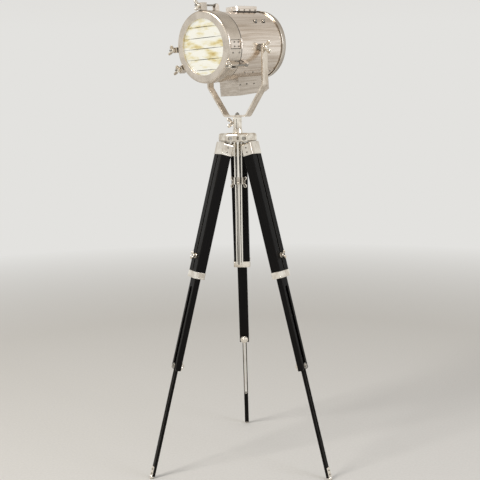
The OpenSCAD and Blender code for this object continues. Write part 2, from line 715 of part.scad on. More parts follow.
module front_door() color(nickel) on_head() {
    turned() {
        difference() {
            union() {
                translate([0, door_rear]) square([door_r, door_len - door_round]);
                translate([0, door_rear]) square([door_r - door_round, door_len]);
                translate([door_r - door_round, door_face - door_round]) circle(r = door_round);
            }
            translate([0, door_rear + door_wall])
                square([door_r - door_wall, door_len - door_round - door_wall]);
            translate([0, door_rear + door_wall])
                square([door_r - door_round, door_len - 2 * door_wall]);
            translate([door_r - door_round, door_face - door_round]) circle(r = door_round - door_wall);
            translate([0, door_rear - 1]) square([drum_r, door_wall + 2]);
            translate([0, door_rear]) square([glass_open, door_len + 1]);
        }
        // Lip in front of the glass, and the ring that holds the glass from behind
        translate([glass_open, glass_x]) square([1.5, glass_back - 1]);
        translate([glass_open - 3, glass_x - glass_t - 3]) square([door_r - door_wall / 2 - glass_open + 3, 3]);
        translate([glass_r + 0.2, glass_x - glass_t - 1]) square([1.5, glass_t]);
    }
    // Forked lugs that take the swing bolts
    for (a = clocks) at_clock(a) difference() {
        across(fork_w) {
            translate([fork_front - fork_len, door_r - 4]) square([fork_len - 5, rod_r + 8 - door_r + 4]);
            translate([fork_front - fork_len, door_r + 1]) square([fork_len, rod_r + 3 - door_r - 1]);
            translate([fork_front - 5, rod_r + 3]) circle(r = 5);
        }
        along(0, 300, door_r - door_wall / 2);
        translate([fork_front - fork_len - 5, -notch_w / 2, rod_r]) cube([fork_len + 10, notch_w, 30]);
        translate([0, 0, rod_r]) along(fork_front - fork_len - 5, fork_front + 5, notch_w / 2);
    }
}

module glass_strips() color(white_glass) on_head() for (i = [0 : 5]) {
    low = i == 0 ? -2 * glass_r : (i - 1) * strip_h - strip_low + strip_gap / 2;
    high = i == 5 ? 2 * glass_r : i * strip_h - strip_low - strip_gap / 2;
    intersection() {
        along(glass_x - glass_t, glass_x, glass_r);
        translate([glass_x - 10, -glass_r - 5, low]) cube([20, 2 * glass_r + 10, high - low]);
    }
}

module door_hinge() color(nickel) on_head() {
    hx = door_rear + 6;
    hy = door_r + 5;
    // Door leaf with the outer knuckles
    difference() {
        union() {
            translate([hx, door_r - 4, -13]) cube([door_len - 14, 7, 26]);
            translate([hx, hy, -15]) cylinder(r = 4.5, h = 30);
        }
        along(0, 300, door_r);
        translate([hx - 10, hy - 20, -5.2]) cube([15, 40, 10.4]);
        translate([hx, hy, -20]) cylinder(r = 2 + fit, h = 40);
    }
    // Drum leaf with the middle knuckle
    difference() {
        union() {
            translate([drum_front - 15, drum_r - 3, -5]) cube([hx - drum_front + 15, door_r + 3 - drum_r + 3, 10]);
            translate([hx, hy, -5]) cylinder(r = 4.5, h = 10);
        }
        along(0, 300, drum_r);
        along(door_rear - 0.2, 300, door_r);
        translate([hx, hy, -20]) cylinder(r = 2 + fit, h = 40);
    }
    translate([hx, hy, -17]) cylinder(r = 2, h = 34);
}

// Wing knob on a tilt stud: s is 1 on the lamp's left and -1 on its right
module pivot_knob(s) {
    color(nickel) on_head() scale([1, s, 1]) translate([0, knob_y, -drum_rise]) rotate([-90, 0, 0]) difference() {
        rotate([0, 0, 90]) wing_head(9, 11, 44, 24, 4.5, 7.5);
        translate([0, 0, -1]) cylinder(r = pivot_d / 2 + fit, h = 10);
    }
}

module swing_bolt(a) {
    color(steel) on_head() at_clock(a) difference() {
        union() {
            translate([pin_x, 0, rod_r]) rotate([90, 0, 0]) cylinder(r = 6.2, h = rod_d + 2.4, center = true);
            translate([0, 0, rod_r]) along(pin_x + 3, pin_x + rod_len, rod_d / 2);
        }
        translate([pin_x, 0, rod_r]) rotate([90, 0, 0]) cylinder(r = pin_d / 2 + fit, h = 40, center = true);
    }
}

module wing_nut(a, turn) {
    color(nickel) on_head() at_clock(a) translate([nut_x, 0, rod_r]) rotate([0, 90, 0]) difference() {
        rotate([0, 0, turn]) wing_head(7.5, 13, 36, nut_reach, wing_t, 6.5);
        translate([0, 0, -1]) cylinder(r = rod_d / 2 + fit, h = nut_reach);
    }
}

// ---- Legs ----

module leg_cap(az) {
    r = 9;
    color(nickel) on_leg(az) difference() {
        union() {
            intersection() {
                leg_bar(cap_top, cap_end, cap_d, cap_w, rail_corner + cap_wall);
                rotate([90, 0, 90]) linear_extrude(2 * cap_d, center = true) {
                    translate([-cap_w / 2, -cap_end]) square([cap_w, cap_end - cap_top - r]);
                    translate([-cap_w / 2 + r, -cap_end]) square([cap_w - 2 * r, cap_end - cap_top]);
                    for (s = [-1, 1]) {
                        translate([s * (cap_w / 2 - r), -cap_top - r]) circle(r = r);
                    }
                }
            }
            across(tongue_w) {
                circle(r = tongue_r);
                translate([-tongue_r, -cap_top - 2]) square([2 * tongue_r, cap_top + 2]);
            }
            // Raised rim round the lower edge
            leg_bar(cap_end - 3, cap_end, cap_d + 1.2, cap_w + 1.2, rail_corner + cap_wall);
        }
        leg_bar(rail_top, cap_end + 5, rail_d, rail_w, rail_corner);
        rotate([90, 0, 0]) cylinder(r = hinge_bolt_d / 2 + fit, h = arm_w, center = true);
    }
}

module leg_rails(az) {
    color(lacquer) on_leg(az) difference() {
        leg_bar(rail_top, rail_end, rail_d, rail_w, rail_corner);
        leg_bar(rail_top - 5, rail_end + 5, cavity_d, cavity_w, 1);
        translate([-rail_d, -rail_slot / 2, -rail_end - 5]) cube([2 * rail_d, rail_slot, rail_end]);
    }
}

module leg_band(az) {
    color(nickel) on_leg(az) difference() {
        union() {
            leg_bar(rail_end - band_h, rail_end + band_lip, cap_d, cap_w, rail_corner + cap_wall);
            leg_bar(rail_end - 1, rail_end + band_lip, cap_d + 1.2, cap_w + 1.2, rail_corner + cap_wall);
        }
        leg_bar(rail_end - band_h - 5, rail_end, rail_d, rail_w, rail_corner);
        leg_bar(rail_end - band_h, rail_end + band_lip + 5, cavity_d, cavity_w, 1);
    }
}

module middle_bar(az) {
    // Half the width of the channel that the lower bar slides in, open to the front
    fork = low_w / 2 + slide_gap;
    color(lacquer) on_leg(az) difference() {
        leg_bar(mid_top, mid_end, mid_d, mid_w, 1);
        translate([mid_back - mid_d / 2, 0, 0]) {
            translate([0, -fork, -mid_end - 5]) cube([mid_d, 2 * fork, mid_end + 5 - fork_top - fork]);
            translate([0, 0, -fork_top - fork]) rotate([0, 90, 0]) cylinder(r = fork, h = mid_d);
        }
        translate([0, 0, -lower_bolt_a]) rotate([0, -90, 0]) cylinder(r = lower_bolt_d / 2 + knob_gap, h = mid_d);
        translate([0, 0, -upper_stud_a]) rotate([0, 90, 0]) cylinder(r = upper_stud_d / 2 + fit, h = mid_d);
        // Bevel on the outer lower edge
        translate([mid_d / 2, 0, -mid_end]) rotate([0, 45, 0]) cube([8, 2 * mid_w, 8], center = true);
    }
}

module upper_knob(az) {
    color(nickel) on_leg(az) translate([0, 0, -upper_stud_a]) rotate([0, 90, 0]) {
        translate([0, 0, 1]) cylinder(r = upper_stud_d / 2, h = rail_d / 2 + 3);
        translate([0, 0, rail_d / 2 + knob_gap]) cylinder(r = upper_stud_d * 1.5, h = 1.6);
        translate([0, 0, rail_d / 2 + knob_gap + 1.5]) wing_head(5.5, 9, 30, 18, wing_t, 6.5);
    }
}

module lower_bar(az) {
    low_end = toe_a - 2;
    color(lacquer) on_leg(az) difference() {
        leg_bar(low_top, low_end, low_d, low_w, 1);
        translate([-low_d, -low_slot_w / 2, -low_slot_top - low_slot_len])
            cube([2 * low_d, low_slot_w, low_slot_len - low_slot_w / 2]);
        translate([-low_d, 0, -low_slot_top - low_slot_w / 2]) rotate([0, 90, 0])
            cylinder(r = low_slot_w / 2, h = 2 * low_d);
        translate([-low_d, 0, -low_slot_top - low_slot_len]) rotate([0, 90, 0])
            cylinder(r = low_slot_w / 2, h = 2 * low_d);
    }
}

module foot(az) {
    color(nickel) difference() {
        on_leg(az) difference() {
            union() {
                translate([toe_x, 0, -toe_a]) sphere(r = toe_r);
                translate([0, -low_w / 2, -toe_a]) cube([low_d / 2 + shoe_t, low_w, shoe_len]);
            }
            translate([-low_d / 2 - 20, -low_w / 2 - 5, 2 - toe_a]) cube([low_d + 20, low_w + 10, shoe_len]);
        }
        translate([-800, -800, -100]) cube([1600, 1600, 100]);
    }
}

module lower_knob(az) {
    face = mid_d / 2 + knob_gap;
    color(nickel) on_leg(az) translate([0, 0, -lower_bolt_a]) rotate([0, 90, 0]) {
        translate([0, 0, -face - 4]) cylinder(r = lower_bolt_d / 2, h = 2 * face + 8);
        translate([0, 0, -face - 7]) cylinder(r = lower_knob_d / 2, h = 7);
        translate([0, 0, -face - 14]) cylinder(r1 = lower_knob_d / 4, r2 = lower_knob_d / 3, h = 8);
        translate([0, 0, face]) cylinder(r = low_w / 2 + 2.5, h = 1.5);
        translate([0, 0, face + 1]) cylinder(r = 5, h = 4.5, $fn = 6);
    }
}

// ---- The lamp ----

hub_casting();
leg_hinge_bolts();
mast_sleeve();
sleeve_collar();
collar_screw(270);  // collar_screw_front
collar_screw(150);  // collar_screw_left
collar_screw(30);  // collar_screw_right
mast_tube();
yoke_socket();
yoke_bracket();
yoke_bolt();
socket_screw();
drum_shell();
rear_cover();
reflector();
lamp_holder();
bulb();
vent_cap();
control_box();
box_side_plates();
cable_gland();
terminal_block();
pivot_studs();
front_door();
glass_strips();
door_hinge();
pivot_knob(1);  // pivot_knob_left
pivot_knob(-1);  // pivot_knob_right
swing_bolt(clocks[0]);  // swing_bolt_top
swing_bolt(clocks[1]);  // swing_bolt_lower_left
swing_bolt(clocks[2]);  // swing_bolt_lower_right
swing_bolt(clocks[3]);  // swing_bolt_right
wing_nut(clocks[0], ear_turns[0]);  // wing_nut_top
wing_nut(clocks[1], ear_turns[1]);  // wing_nut_lower_left
wing_nut(clocks[2], ear_turns[2]);  // wing_nut_lower_right
wing_nut(clocks[3], ear_turns[3]);  // wing_nut_right
leg_cap(90);  // leg_cap_rear
leg_rails(90);  // leg_rails_rear
leg_band(90);  // leg_band_rear
middle_bar(90);  // middle_bar_rear
upper_knob(90);  // upper_knob_rear
lower_bar(90);  // lower_bar_rear
foot(90);  // foot_rear
lower_knob(90);  // lower_knob_rear
leg_cap(210);  // leg_cap_left
leg_rails(210);  // leg_rails_left
leg_band(210);  // leg_band_left
middle_bar(210);  // middle_bar_left
upper_knob(210);  // upper_knob_left
lower_bar(210);  // lower_bar_left
foot(210);  // foot_left
lower_knob(210);  // lower_knob_left
leg_cap(330);  // leg_cap_right
leg_rails(330);  // leg_rails_right
leg_band(330);  // leg_band_right
middle_bar(330);  // middle_bar_right
upper_knob(330);  // upper_knob_right
lower_bar(330);  // lower_bar_right
foot(330);  // foot_right
lower_knob(330);  // lower_knob_right
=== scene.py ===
# %% [markdown]
# # A spotlight floor lamp on a wooden tripod
# This file dresses a measured model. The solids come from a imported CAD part, so their sizes and
# places are settled before the first line here. Blender adds what the eye looks for: finishes,
# rounded castings, screws, glass joints, a floor and light. One way to dress a model is to model
# it again from scratch; keeping the measured solids and replacing only some of them is safer.

# %% Load the measured frame
import math

import bmesh
import bpy
import numpy as np
from mathutils import Matrix, Vector


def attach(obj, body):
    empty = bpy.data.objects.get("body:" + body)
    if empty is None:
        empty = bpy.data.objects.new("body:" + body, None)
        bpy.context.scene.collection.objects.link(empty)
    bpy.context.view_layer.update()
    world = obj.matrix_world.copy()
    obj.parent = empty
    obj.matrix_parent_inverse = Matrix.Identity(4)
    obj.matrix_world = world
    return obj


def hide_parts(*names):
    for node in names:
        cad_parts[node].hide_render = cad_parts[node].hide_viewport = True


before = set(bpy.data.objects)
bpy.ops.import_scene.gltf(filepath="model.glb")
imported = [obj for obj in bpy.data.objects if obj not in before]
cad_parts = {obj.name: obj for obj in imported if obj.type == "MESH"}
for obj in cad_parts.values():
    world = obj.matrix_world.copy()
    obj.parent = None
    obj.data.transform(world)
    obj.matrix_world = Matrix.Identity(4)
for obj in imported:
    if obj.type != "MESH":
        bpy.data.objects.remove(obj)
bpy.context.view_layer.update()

# %% [markdown]
# ## Places
# The lamp has three kinds of local frame: the mast's, each leg's and the head's. In its own frame
# a leg is straight and the head looks along x, so every shape below is written with plain numbers
# in millimetres and carried to its place by one matrix. The alternative, working in the room's
# frame, would hide each number behind two turns.

# %% The frames of the mast, the legs and the head
LEGS = {"rear": 90, "left": 210, "right": 330}  # each leg's direction from the mast, in degrees
MAST_Y = -71.9885  # the mast stands a little in front of the room's middle
HINGE_OUT, HINGE_HEIGHT, SPREAD = 45, 1184.0258, 14.86  # a leg's hinge, and its lean in degrees
PIVOT_HEIGHT, PAN, NOD, DRUM_LIFT = 1487.5258, 232, 5, 14  # the head's pivots; the drum's axis over them
DRUM = 114.0  # the drum's outer radius


def turn(axis, degrees):
    """Rotation by an angle in degrees about one axis."""
    return Matrix.Rotation(math.radians(degrees), 4, axis)


def shift(x, y, z):
    """Move by millimetres, as a matrix in metres."""
    return Matrix.Translation((x * 0.001, y * 0.001, z * 0.001))


MAST = shift(0, MAST_Y, 0)
HEAD = MAST @ shift(0, 0, PIVOT_HEIGHT) @ turn("Z", PAN) @ turn("Y", NOD) @ shift(0, 0, DRUM_LIFT)


def leg_frame(azimuth):
    """A leg's frame: turned to its azimuth, moved out to its hinge, then leaned by the spread."""
    return MAST @ turn("Z", azimuth) @ shift(HINGE_OUT, 0, HINGE_HEIGHT) @ turn("Y", -SPREAD)


def placed(place, points):
    """A place's points, in millimetres, as room points in metres: the place's turn times each point,
    plus its origin."""
    m = np.array(place)
    return np.asarray(points, float) * 0.001 @ m[:3, :3].T + m[:3, 3]


print("head centre:", placed(HEAD, [[0, 0, 0]]))

# %% [markdown]
# ## The camera
# The photograph was taken from the front, a little below the head, about three metres away. A long
# lens keeps the legs straight. Its place was worked out from where known points of the tripod fall
# in the picture, so it is written as numbers. Aiming it with a constraint would be easier to read,
# but a matrix gives the small roll exactly.

# %% Camera
EYE = (0.157, -2.891, 1.219)  # metres
HEADING, PITCH, ROLL = -3.14, -8.01, 0.9  # degrees
LENS, SENSOR = 59.55, 36  # millimetres

scene = bpy.context.scene
scene.view_settings.view_transform = "Standard"


def camera_matrix(eye, heading, pitch, roll):
    """Axes of a camera: forward from heading and pitch, right level with the floor, then rolled."""
    heading, pitch, roll = map(math.radians, (heading, pitch, roll))
    level = math.cos(pitch)
    forward = Vector((math.sin(heading) * level, math.cos(heading) * level, math.sin(pitch)))
    right = forward.cross(Vector((0, 0, 1))).normalized()
    up = right.cross(forward)
    across = right * math.cos(roll) - up * math.sin(roll)
    above = right * math.sin(roll) + up * math.cos(roll)
    axes = Matrix((across, above, -forward)).transposed()
    return Matrix.Translation(eye) @ axes.to_4x4()


view = bpy.data.cameras.new("camera")
view.lens, view.sensor_width = LENS, SENSOR
camera = bpy.data.objects.new("camera", view)
scene.collection.objects.link(camera)
camera.matrix_world = camera_matrix(EYE, HEADING, PITCH, ROLL)
scene.camera = camera
print("camera at", tuple(camera.location), "lens", view.lens)

# %% [markdown]
# ## Adding shader nodes
# A finish is a small graph. One helper adds a node, sets its properties and fills its sockets,
# each with a value or with a link. Building the graph by hand in the editor teaches the same,
# but a script can be read from top to bottom.

# %% Helpers for colours and nodes
NOISE, RAMP, RANGE = "ShaderNodeTexNoise", "ShaderNodeValToRGB", "ShaderNodeMapRange"
MIX, MATHS, BUMP = "ShaderNodeMix", "ShaderNodeMath", "ShaderNodeBump"
SHARE, FIRST, SECOND, MIXED = 0, 6, 7, 2  # of a colour mix: the share, both colours, and the output


def linear(hex_colour):
    """sRGB hex to linear light: each channel c becomes ((c + 0.055) / 1.055) to the power 2.4,
    or c / 12.92 where it is dark."""
    c = np.array([int(hex_colour[i:i + 2], 16) for i in (1, 3, 5)]) / 255
    return (*np.where(c <= 0.04045, c / 12.92, ((c + 0.055) / 1.055) ** 2.4), 1.0)


def feed(tree, node, sockets):
    """Fills sockets, given by name or as a row in their own order. A value is set, an output is
    linked, and a node is linked by its first output. A range's row is value, from, from, to, to."""
    rows = sockets.items() if isinstance(sockets, dict) else enumerate(sockets)
    for key, value in rows:
        if isinstance(value, bpy.types.Node):
            value = value.outputs[0]
        if isinstance(value, bpy.types.NodeSocket):
            tree.links.new(value, node.inputs[key])
        else:
            node.inputs[key].default_value = value


def add(tree, kind, sockets=(), stops=(), **settings):
    """Adds a node: settings are its properties, stops a ramp's (position, hex colour) pairs."""
    node = tree.nodes.new(kind)
    for key, value in settings.items():
        setattr(node, key, value)
    feed(tree, node, sockets)
    for i, (position, colour) in enumerate(stops):
        point = node.color_ramp.elements[i] if i < 2 else node.color_ramp.elements.new(position)
        point.position, point.color = position, linear(colour)
    return node


def finish_of(name, **sockets):
    """A new material with one Principled shader, whose plain values are given by name."""
    material = bpy.data.materials.new(name)
    material.use_nodes = True
    tree = material.node_tree
    tree.nodes.clear()
    shader = add(tree, "ShaderNodeBsdfPrincipled", {k.replace("_", " "): v for k, v in sockets.items()})
    add(tree, "ShaderNodeOutputMaterial", {"Surface": shader}, name="way out")
    return material, tree, shader


print("nickel tone:", [round(c, 3) for c in linear("#cfc1b4")])

# %% [markdown]
# ## Points and edges
# Each pattern follows its own part: streaks run along the drum and grain along the leg. So a
# finish asks for the shaded point in the part's frame. Unwrapping each part would do that too, but
# a turned point needs no seams. Wear and a painted highlight sit on edges, which a bevelled normal
# finds without one more face.

# %% Where a point lies, and how near an edge
def local_point(tree, place, stretch=(1, 1, 1)):
    """The shaded point in a place's own frame, in metres, times a stretch along each axis."""
    back = place.inverted()
    at = add(tree, "ShaderNodeTexCoord").outputs["Object"]
    origin, angles = back.to_translation(), back.to_euler("XYZ")
    turned_point = add(tree, "ShaderNodeMapping", {"Vector": at, "Location": origin, "Rotation": angles})
    return add(tree, "ShaderNodeMapping", {"Vector": turned_point, "Scale": stretch})


def spun_point(tree, place, stretch):
    """The place along the axis and the distance from it, sqrt(y2 + z2), for marks that run in rings."""
    along = add(tree, "ShaderNodeSeparateXYZ", [local_point(tree, place, stretch)]).outputs["X"]
    flat = local_point(tree, place, (0, stretch[1], stretch[2]))
    away = add(tree, "ShaderNodeVectorMath", [flat], operation="LENGTH").outputs["Value"]
    return add(tree, "ShaderNodeCombineXYZ", [along, away])


def edges(tree, radius):
    """Rounded normal within a radius of an edge, and how much it differs from the flat one, 0 to 1."""
    soft = add(tree, "ShaderNodeBevel", {"Radius": radius}, samples=4)
    flat = add(tree, "ShaderNodeNewGeometry").outputs["Normal"]
    same = add(tree, "ShaderNodeVectorMath", [soft, flat], operation="DOT_PRODUCT").outputs["Value"]
    return soft, add(tree, RANGE, [same, 0.75, 0.995, 1.0, 0.0])


print("the head's frame is turned by", [round(math.degrees(a), 1) for a in HEAD.to_euler()], "degrees")

# %% [markdown]
# ## Polished nickel
# The head, the yoke and the castings are steel and zinc, nickel plated and buffed on a wheel. The
# plating is warmer than chrome, and buffing leaves long shallow waves and hair lines that run one
# way, so a reflection breaks into streaks; the bump draws the waves, and the streaks are painted
# into the colour too, as painted reflections. A real hair line is a hundredth of a millimetre wide
# and wouldn't show from three metres, so on the drum the streaks are about 7 mm wide and 200 mm long.
# The rear cover was spun on a lathe, and its marks run in rings. Edges get a lighter line, partly
# where the wheel cuts through to a paler metal and partly as a painted highlight, and recesses and
# gaps are painted dark as shade. Anisotropic gloss would smear a reflection too, but it draws no
# single streak.

# %% Nickel finish
def nickel(name, place, stretch, light, dark, waves, rough, spun=False, split=(0.36, 0.58)):
    """Polished nickel: stretched noise gives waves in the bump and painted reflections in the tone,
    wide noise gives smudges.
    """
    material, tree, shader = finish_of(name, Metallic=1.0)
    point = local_point(tree, place)
    drawn = (spun_point if spun else local_point)(tree, place, stretch)
    waves_and_reflections = add(tree, NOISE, {"Vector": drawn, "Scale": 1.0, "Detail": 4.0, "Roughness": 0.6})
    smudge = add(tree, NOISE, {"Vector": point, "Scale": 22.0, "Detail": 3.0})  # 45 mm across
    specks = add(tree, NOISE, {"Vector": point, "Scale": 900.0, "Detail": 1.0})  # 1 mm across
    soft, edge_wear_and_highlight = edges(tree, 0.0009)
    # painted reflection: the stretched noise sets the colour between the dark and the light tone
    tone = add(tree, RAMP, [waves_and_reflections], [(split[0], dark), (split[1], light)])
    # pale edges: partly wear, partly a painted highlight
    pale = {SHARE: edge_wear_and_highlight, FIRST: tone, SECOND: linear("#fbf6ef")}
    rubbed_and_lit = add(tree, MIX, pale, data_type="RGBA").outputs[MIXED]
    # painted shade: ambient occlusion darkens recesses and the gaps between parts towards dark brown
    open_sky = add(tree, "ShaderNodeAmbientOcclusion", {"Distance": 0.012}, samples=6).outputs["AO"]
    painted_shade = add(tree, RANGE, [open_sky, 0.1, 0.7, 0.85, 0.0])
    shade_mix = {SHARE: painted_shade, FIRST: rubbed_and_lit, SECOND: linear("#453c33")}
    shaded_tone = add(tree, MIX, shade_mix, data_type="RGBA").outputs[MIXED]
    wiped = add(tree, RANGE, [smudge, 0.3, 0.7, *rough])
    dusty = add(tree, RANGE, [specks, 0.3, 0.7, -0.02, 0.03])
    cloud = add(tree, MATHS, [wiped, dusty], operation="ADD")
    bump = add(tree, BUMP, {"Height": waves_and_reflections, "Normal": soft, "Strength": waves, "Distance": 0.002})
    feed(tree, shader, {"Base Color": shaded_tone, "Roughness": cloud, "Normal": bump})
    return material


print("a streak on the drum:", round(1000 / 150, 1), "by", 1000 / 5, "mm")

# %% One nickel for each way of making
# Along the stretched noise each nickel's colour runs between its dark and light tone: a painted reflection
# over the bump's real waves.
# Buffed along the drum: soft streaks. The door ring is buffed across and duller, with broad clouds.
head_nickel = nickel("buffed_nickel_head", HEAD, (5, 150, 150), "#fbf1e6", "#dccebf", 0.13, (0.14, 0.25))
door_nickel = nickel("buffed_nickel_door", HEAD, (14, 26, 26), "#e3d9cc", "#d0c6b9", 0.04, (0.2, 0.3))
# Drawn through a die: mirror bright, with painted reflections as dark lines 6 mm wide along the whole tube.
mast_nickel = nickel("drawn_nickel_tube", MAST, (165, 165, 1.0), "#fffaf0", "#1d1a17", 0.3, (0.05, 0.12),
                     split=(0.42, 0.5))
# Cast in sand, then plated: lumps of 22 mm bend each reflection. The legs' fittings are cast too.
cast_nickel = nickel("cast_nickel_fittings", MAST, (45, 45, 40), "#fcf6ea", "#cdc2b3", 0.2, (0.07, 0.16))
leg_nickel = {side: nickel("nickel_fitting_" + side, leg_frame(a), (30, 30, 18), "#fdf8ee", "#d8cfc2",
                           0.14, (0.07, 0.16)) for side, a in LEGS.items()}
# Spun on a lathe: rings 4 mm apart, which is as fine as shows; its tone sits darker than the drum's
# as a painted reflection of dark surroundings.
cover_nickel = nickel("spun_nickel_cover", HEAD, (90, 230, 230), "#d4ccc2", "#bdb4a9", 0.06, (0.16, 0.28),
                      spun=True)
# Rolled bar has long flat waves; the box is brushed along its sides, in lines 6 mm high.
bar_nickel = nickel("rolled_nickel_bar", HEAD, (60, 60, 12), "#f6ecde", "#d3c7b7", 0.06, (0.16, 0.28))
box_nickel = nickel("brushed_nickel_box", HEAD, (10, 34, 160), "#d3c9bd", "#bcb1a4", 0.05, (0.2, 0.3))
print("nickel finishes:", [m.name for m in bpy.data.materials if "nickel" in m.name])

# %% [markdown]
# ## Plated steel, bright aluminium, ceramic, brass and rubber
# Bolts and pins are turned steel with a thin plating: greyer and duller than the buffed parts. The
# mirror behind the bulb is spun aluminium, the lamp holder glazed porcelain. Each differs from the
# others first by its roughness, then by its tone. One finish with other colours would be quicker,
# but then a gasket would shine like a bolt.

# %% Smaller finishes
def small_finish(name, tones, metallic, rough, grain, bump):
    """A plain finish: noise of one grain moves tone and roughness between two ends, and edges pale,
    partly as wear and partly as a painted highlight.
    """
    material, tree, shader = finish_of(name, Metallic=metallic)
    at = add(tree, "ShaderNodeTexCoord").outputs["Object"]
    noise = add(tree, NOISE, {"Vector": at, "Scale": grain, "Detail": 4.0})
    soft, edge_wear_and_highlight = edges(tree, 0.0005)
    tone = add(tree, RAMP, [noise], [(0.3, tones[0]), (0.7, tones[1])])
    # pale edges: partly wear, partly a painted highlight
    pale = {SHARE: edge_wear_and_highlight, FIRST: tone, SECOND: linear(tones[2])}
    rubbed_and_lit = add(tree, MIX, pale, data_type="RGBA").outputs[MIXED]
    gloss = add(tree, RANGE, [noise, 0.3, 0.7, *rough])
    grit = add(tree, BUMP, {"Height": noise, "Normal": soft, "Strength": bump, "Distance": 0.0005})
    feed(tree, shader, {"Base Color": rubbed_and_lit, "Roughness": gloss, "Normal": grit})
    return material


# Zinc gives steel a grey sheen in patches of 3 mm; a spun mirror has shallow waves of 17 mm.
steel = small_finish("zinc_plated_steel", ("#8f8b84", "#b4b0a8", "#d5d1c9"), 1.0, (0.22, 0.4), 300.0, 0.1)
mirror = small_finish("spun_aluminium_mirror", ("#c9c6bf", "#e6e2d8", "#f2efe8"), 1.0, (0.08, 0.2), 60.0,
                      0.25)
# Glaze pools by 8 mm and shines; a stamped brass cap is plated thinly, so yellow shows through.
ceramic = small_finish("glazed_porcelain", ("#e9e4d8", "#f3efe6", "#ffffff"), 0.0, (0.12, 0.3), 120.0, 0.08)
brass = small_finish("nickelled_brass_cap", ("#b59a62", "#cdb27a", "#e4cf9f"), 1.0, (0.2, 0.35), 200.0, 0.1)
# Moulded rubber is matt with a grain of 2.5 mm; a screw's recess is painted dark as shade.
rubber = small_finish("black_rubber", ("#141312", "#22201e", "#302c29"), 0.0, (0.6, 0.8), 400.0, 0.2)
shaded_recess = small_finish("screw_recess_shade", ("#16120f", "#241e19", "#3a322b"), 0.6, (0.5, 0.7), 500.0, 0.1)
print("small finishes:", steel.name, mirror.name, ceramic.name, brass.name, rubber.name, shaded_recess.name)

# %% [markdown]
# ## Black lacquered wood
# The legs are hardwood, sprayed with black satin lacquer. Lacquer sinks a little into open grain, so
# long fine lines run down each bar and show as slightly uneven gloss. The arrises take the knocks:
# there the film is thin and pale wood shows through, and the pale edge is also a painted highlight.
# The grain follows each leg, so each leg gets its own copy of the finish, turned to its frame; one
# shared finish would run its grain across two of the legs. Pores 0.3 mm wide are drawn 4 mm wide to show.

# %% Lacquer finish
def lacquer(name, place):
    """Black lacquer over grain: noise long along the leg moves tone, gloss and bump."""
    material, tree, shader = finish_of(name, Coat_Weight=0.03, Coat_Roughness=0.2, IOR=1.5,
                                       Specular_IOR_Level=0.1)
    along = local_point(tree, place, (240, 240, 9))  # lines 4 mm wide and 110 mm long
    grain = add(tree, NOISE, {"Vector": along, "Scale": 1.0, "Detail": 5.0, "Roughness": 0.62})
    dust = add(tree, NOISE, {"Vector": local_point(tree, place), "Scale": 14.0, "Detail": 3.0})  # 70 mm
    soft, edge_wear_and_highlight = edges(tree, 0.0018)
    tone = add(tree, RAMP, [grain], [(0.32, "#050404"), (0.68, "#0e0c0b")])
    uneven = add(tree, RANGE, [dust, 0.42, 0.66, 0.3, 0.9])
    # pale arrises: knocks through to the wood, and a painted highlight
    knocks_and_highlight = add(tree, MATHS, [edge_wear_and_highlight, uneven], operation="MULTIPLY", use_clamp=True)
    bare_and_lit = {SHARE: knocks_and_highlight, FIRST: tone, SECOND: linear("#8d857e")}
    knocked_and_lit = add(tree, MIX, bare_and_lit, data_type="RGBA").outputs[MIXED]
    sunk = add(tree, RANGE, [grain, 0.3, 0.7, 0.26, 0.44])
    dulled = add(tree, RANGE, [dust, 0.35, 0.7, -0.04, 0.1])
    gloss = add(tree, MATHS, [sunk, dulled], operation="ADD")
    pores = add(tree, BUMP, {"Height": grain, "Normal": soft, "Strength": 0.22, "Distance": 0.0008})
    feed(tree, shader, {"Base Color": knocked_and_lit, "Roughness": gloss, "Normal": pores})
    return material


leg_lacquer = {side: lacquer("black_lacquer_" + side, leg_frame(a)) for side, a in LEGS.items()}
print("lacquer on legs:", list(leg_lacquer))

# %% [markdown]
# ## Glass that glows
# The lamp is lit. Its front is six strips of clear glass with a faint ripple, and behind them the
# bulb fills the mirror with warm light. A full simulation of that light would be grainy, so the
# glass carries a part of the glow itself: a warm white with straw-coloured patches, the mirror's
# image of the filament. The strips stay partly clear, so the bulb shows from close by.

# %% Rolled glass of the front
glass, tree, shader = finish_of("rippled_clear_glass", Roughness=0.14, IOR=1.5, Emission_Strength=0.74)
wide = local_point(tree, HEAD, (1, 17, 52))  # patches 60 mm wide and 20 mm high
fine = local_point(tree, HEAD, (1, 60, 220))  # ripples 17 mm wide and 4.5 mm high
patches = add(tree, NOISE, {"Vector": wide, "Scale": 1.0, "Detail": 3.0, "Roughness": 0.55})
ripple = add(tree, NOISE, {"Vector": fine, "Scale": 1.0, "Detail": 2.0})
feed(tree, shader, {
    "Base Color": add(tree, RAMP, [patches], [(0.4, "#6e6a5c"), (0.7, "#4d4226")]),
    "Emission Color": add(tree, RAMP, [patches], [(0.46, "#fffef4"), (0.55, "#f9f2d2"),
                                                  (0.64, "#e8d79c"), (0.73, "#c9a961")]),
    "Alpha": add(tree, RANGE, [patches, 0.3, 0.7, 0.8, 0.97]),
    "Normal": add(tree, BUMP, {"Height": ripple, "Strength": 0.3, "Distance": 0.001}),
})
print("a patch on the glass:", round(1000 / 17), "by", round(1000 / 52), "mm")

# %% Frosted glass of the bulb, etched so that it spreads the light evenly
bulb_glow, tree, shader = finish_of("frosted_bulb_glass", Roughness=0.4, IOR=1.5, Emission_Strength=1.1)
frost = add(tree, NOISE, {"Vector": local_point(tree, HEAD), "Scale": 60.0, "Detail": 3.0})  # 17 mm
feed(tree, shader, {
    "Emission Color": add(tree, RAMP, [frost], [(0.3, "#ffe9b8"), (0.7, "#fff6df")]),
    "Base Color": add(tree, RAMP, [frost], [(0.3, "#f4ead2"), (0.7, "#fffaf0")]),
})
print("glowing finishes:", glass.name, bulb_glow.name)

# %% [markdown]
# ## Dressing the measured solids
# A solid whose shape is right keeps its mesh and only gets its finish. Its slots are filled by name,
# so a look-up table from node to finish is the clearest way; painting by hand would do for ten
# parts, not for sixty.

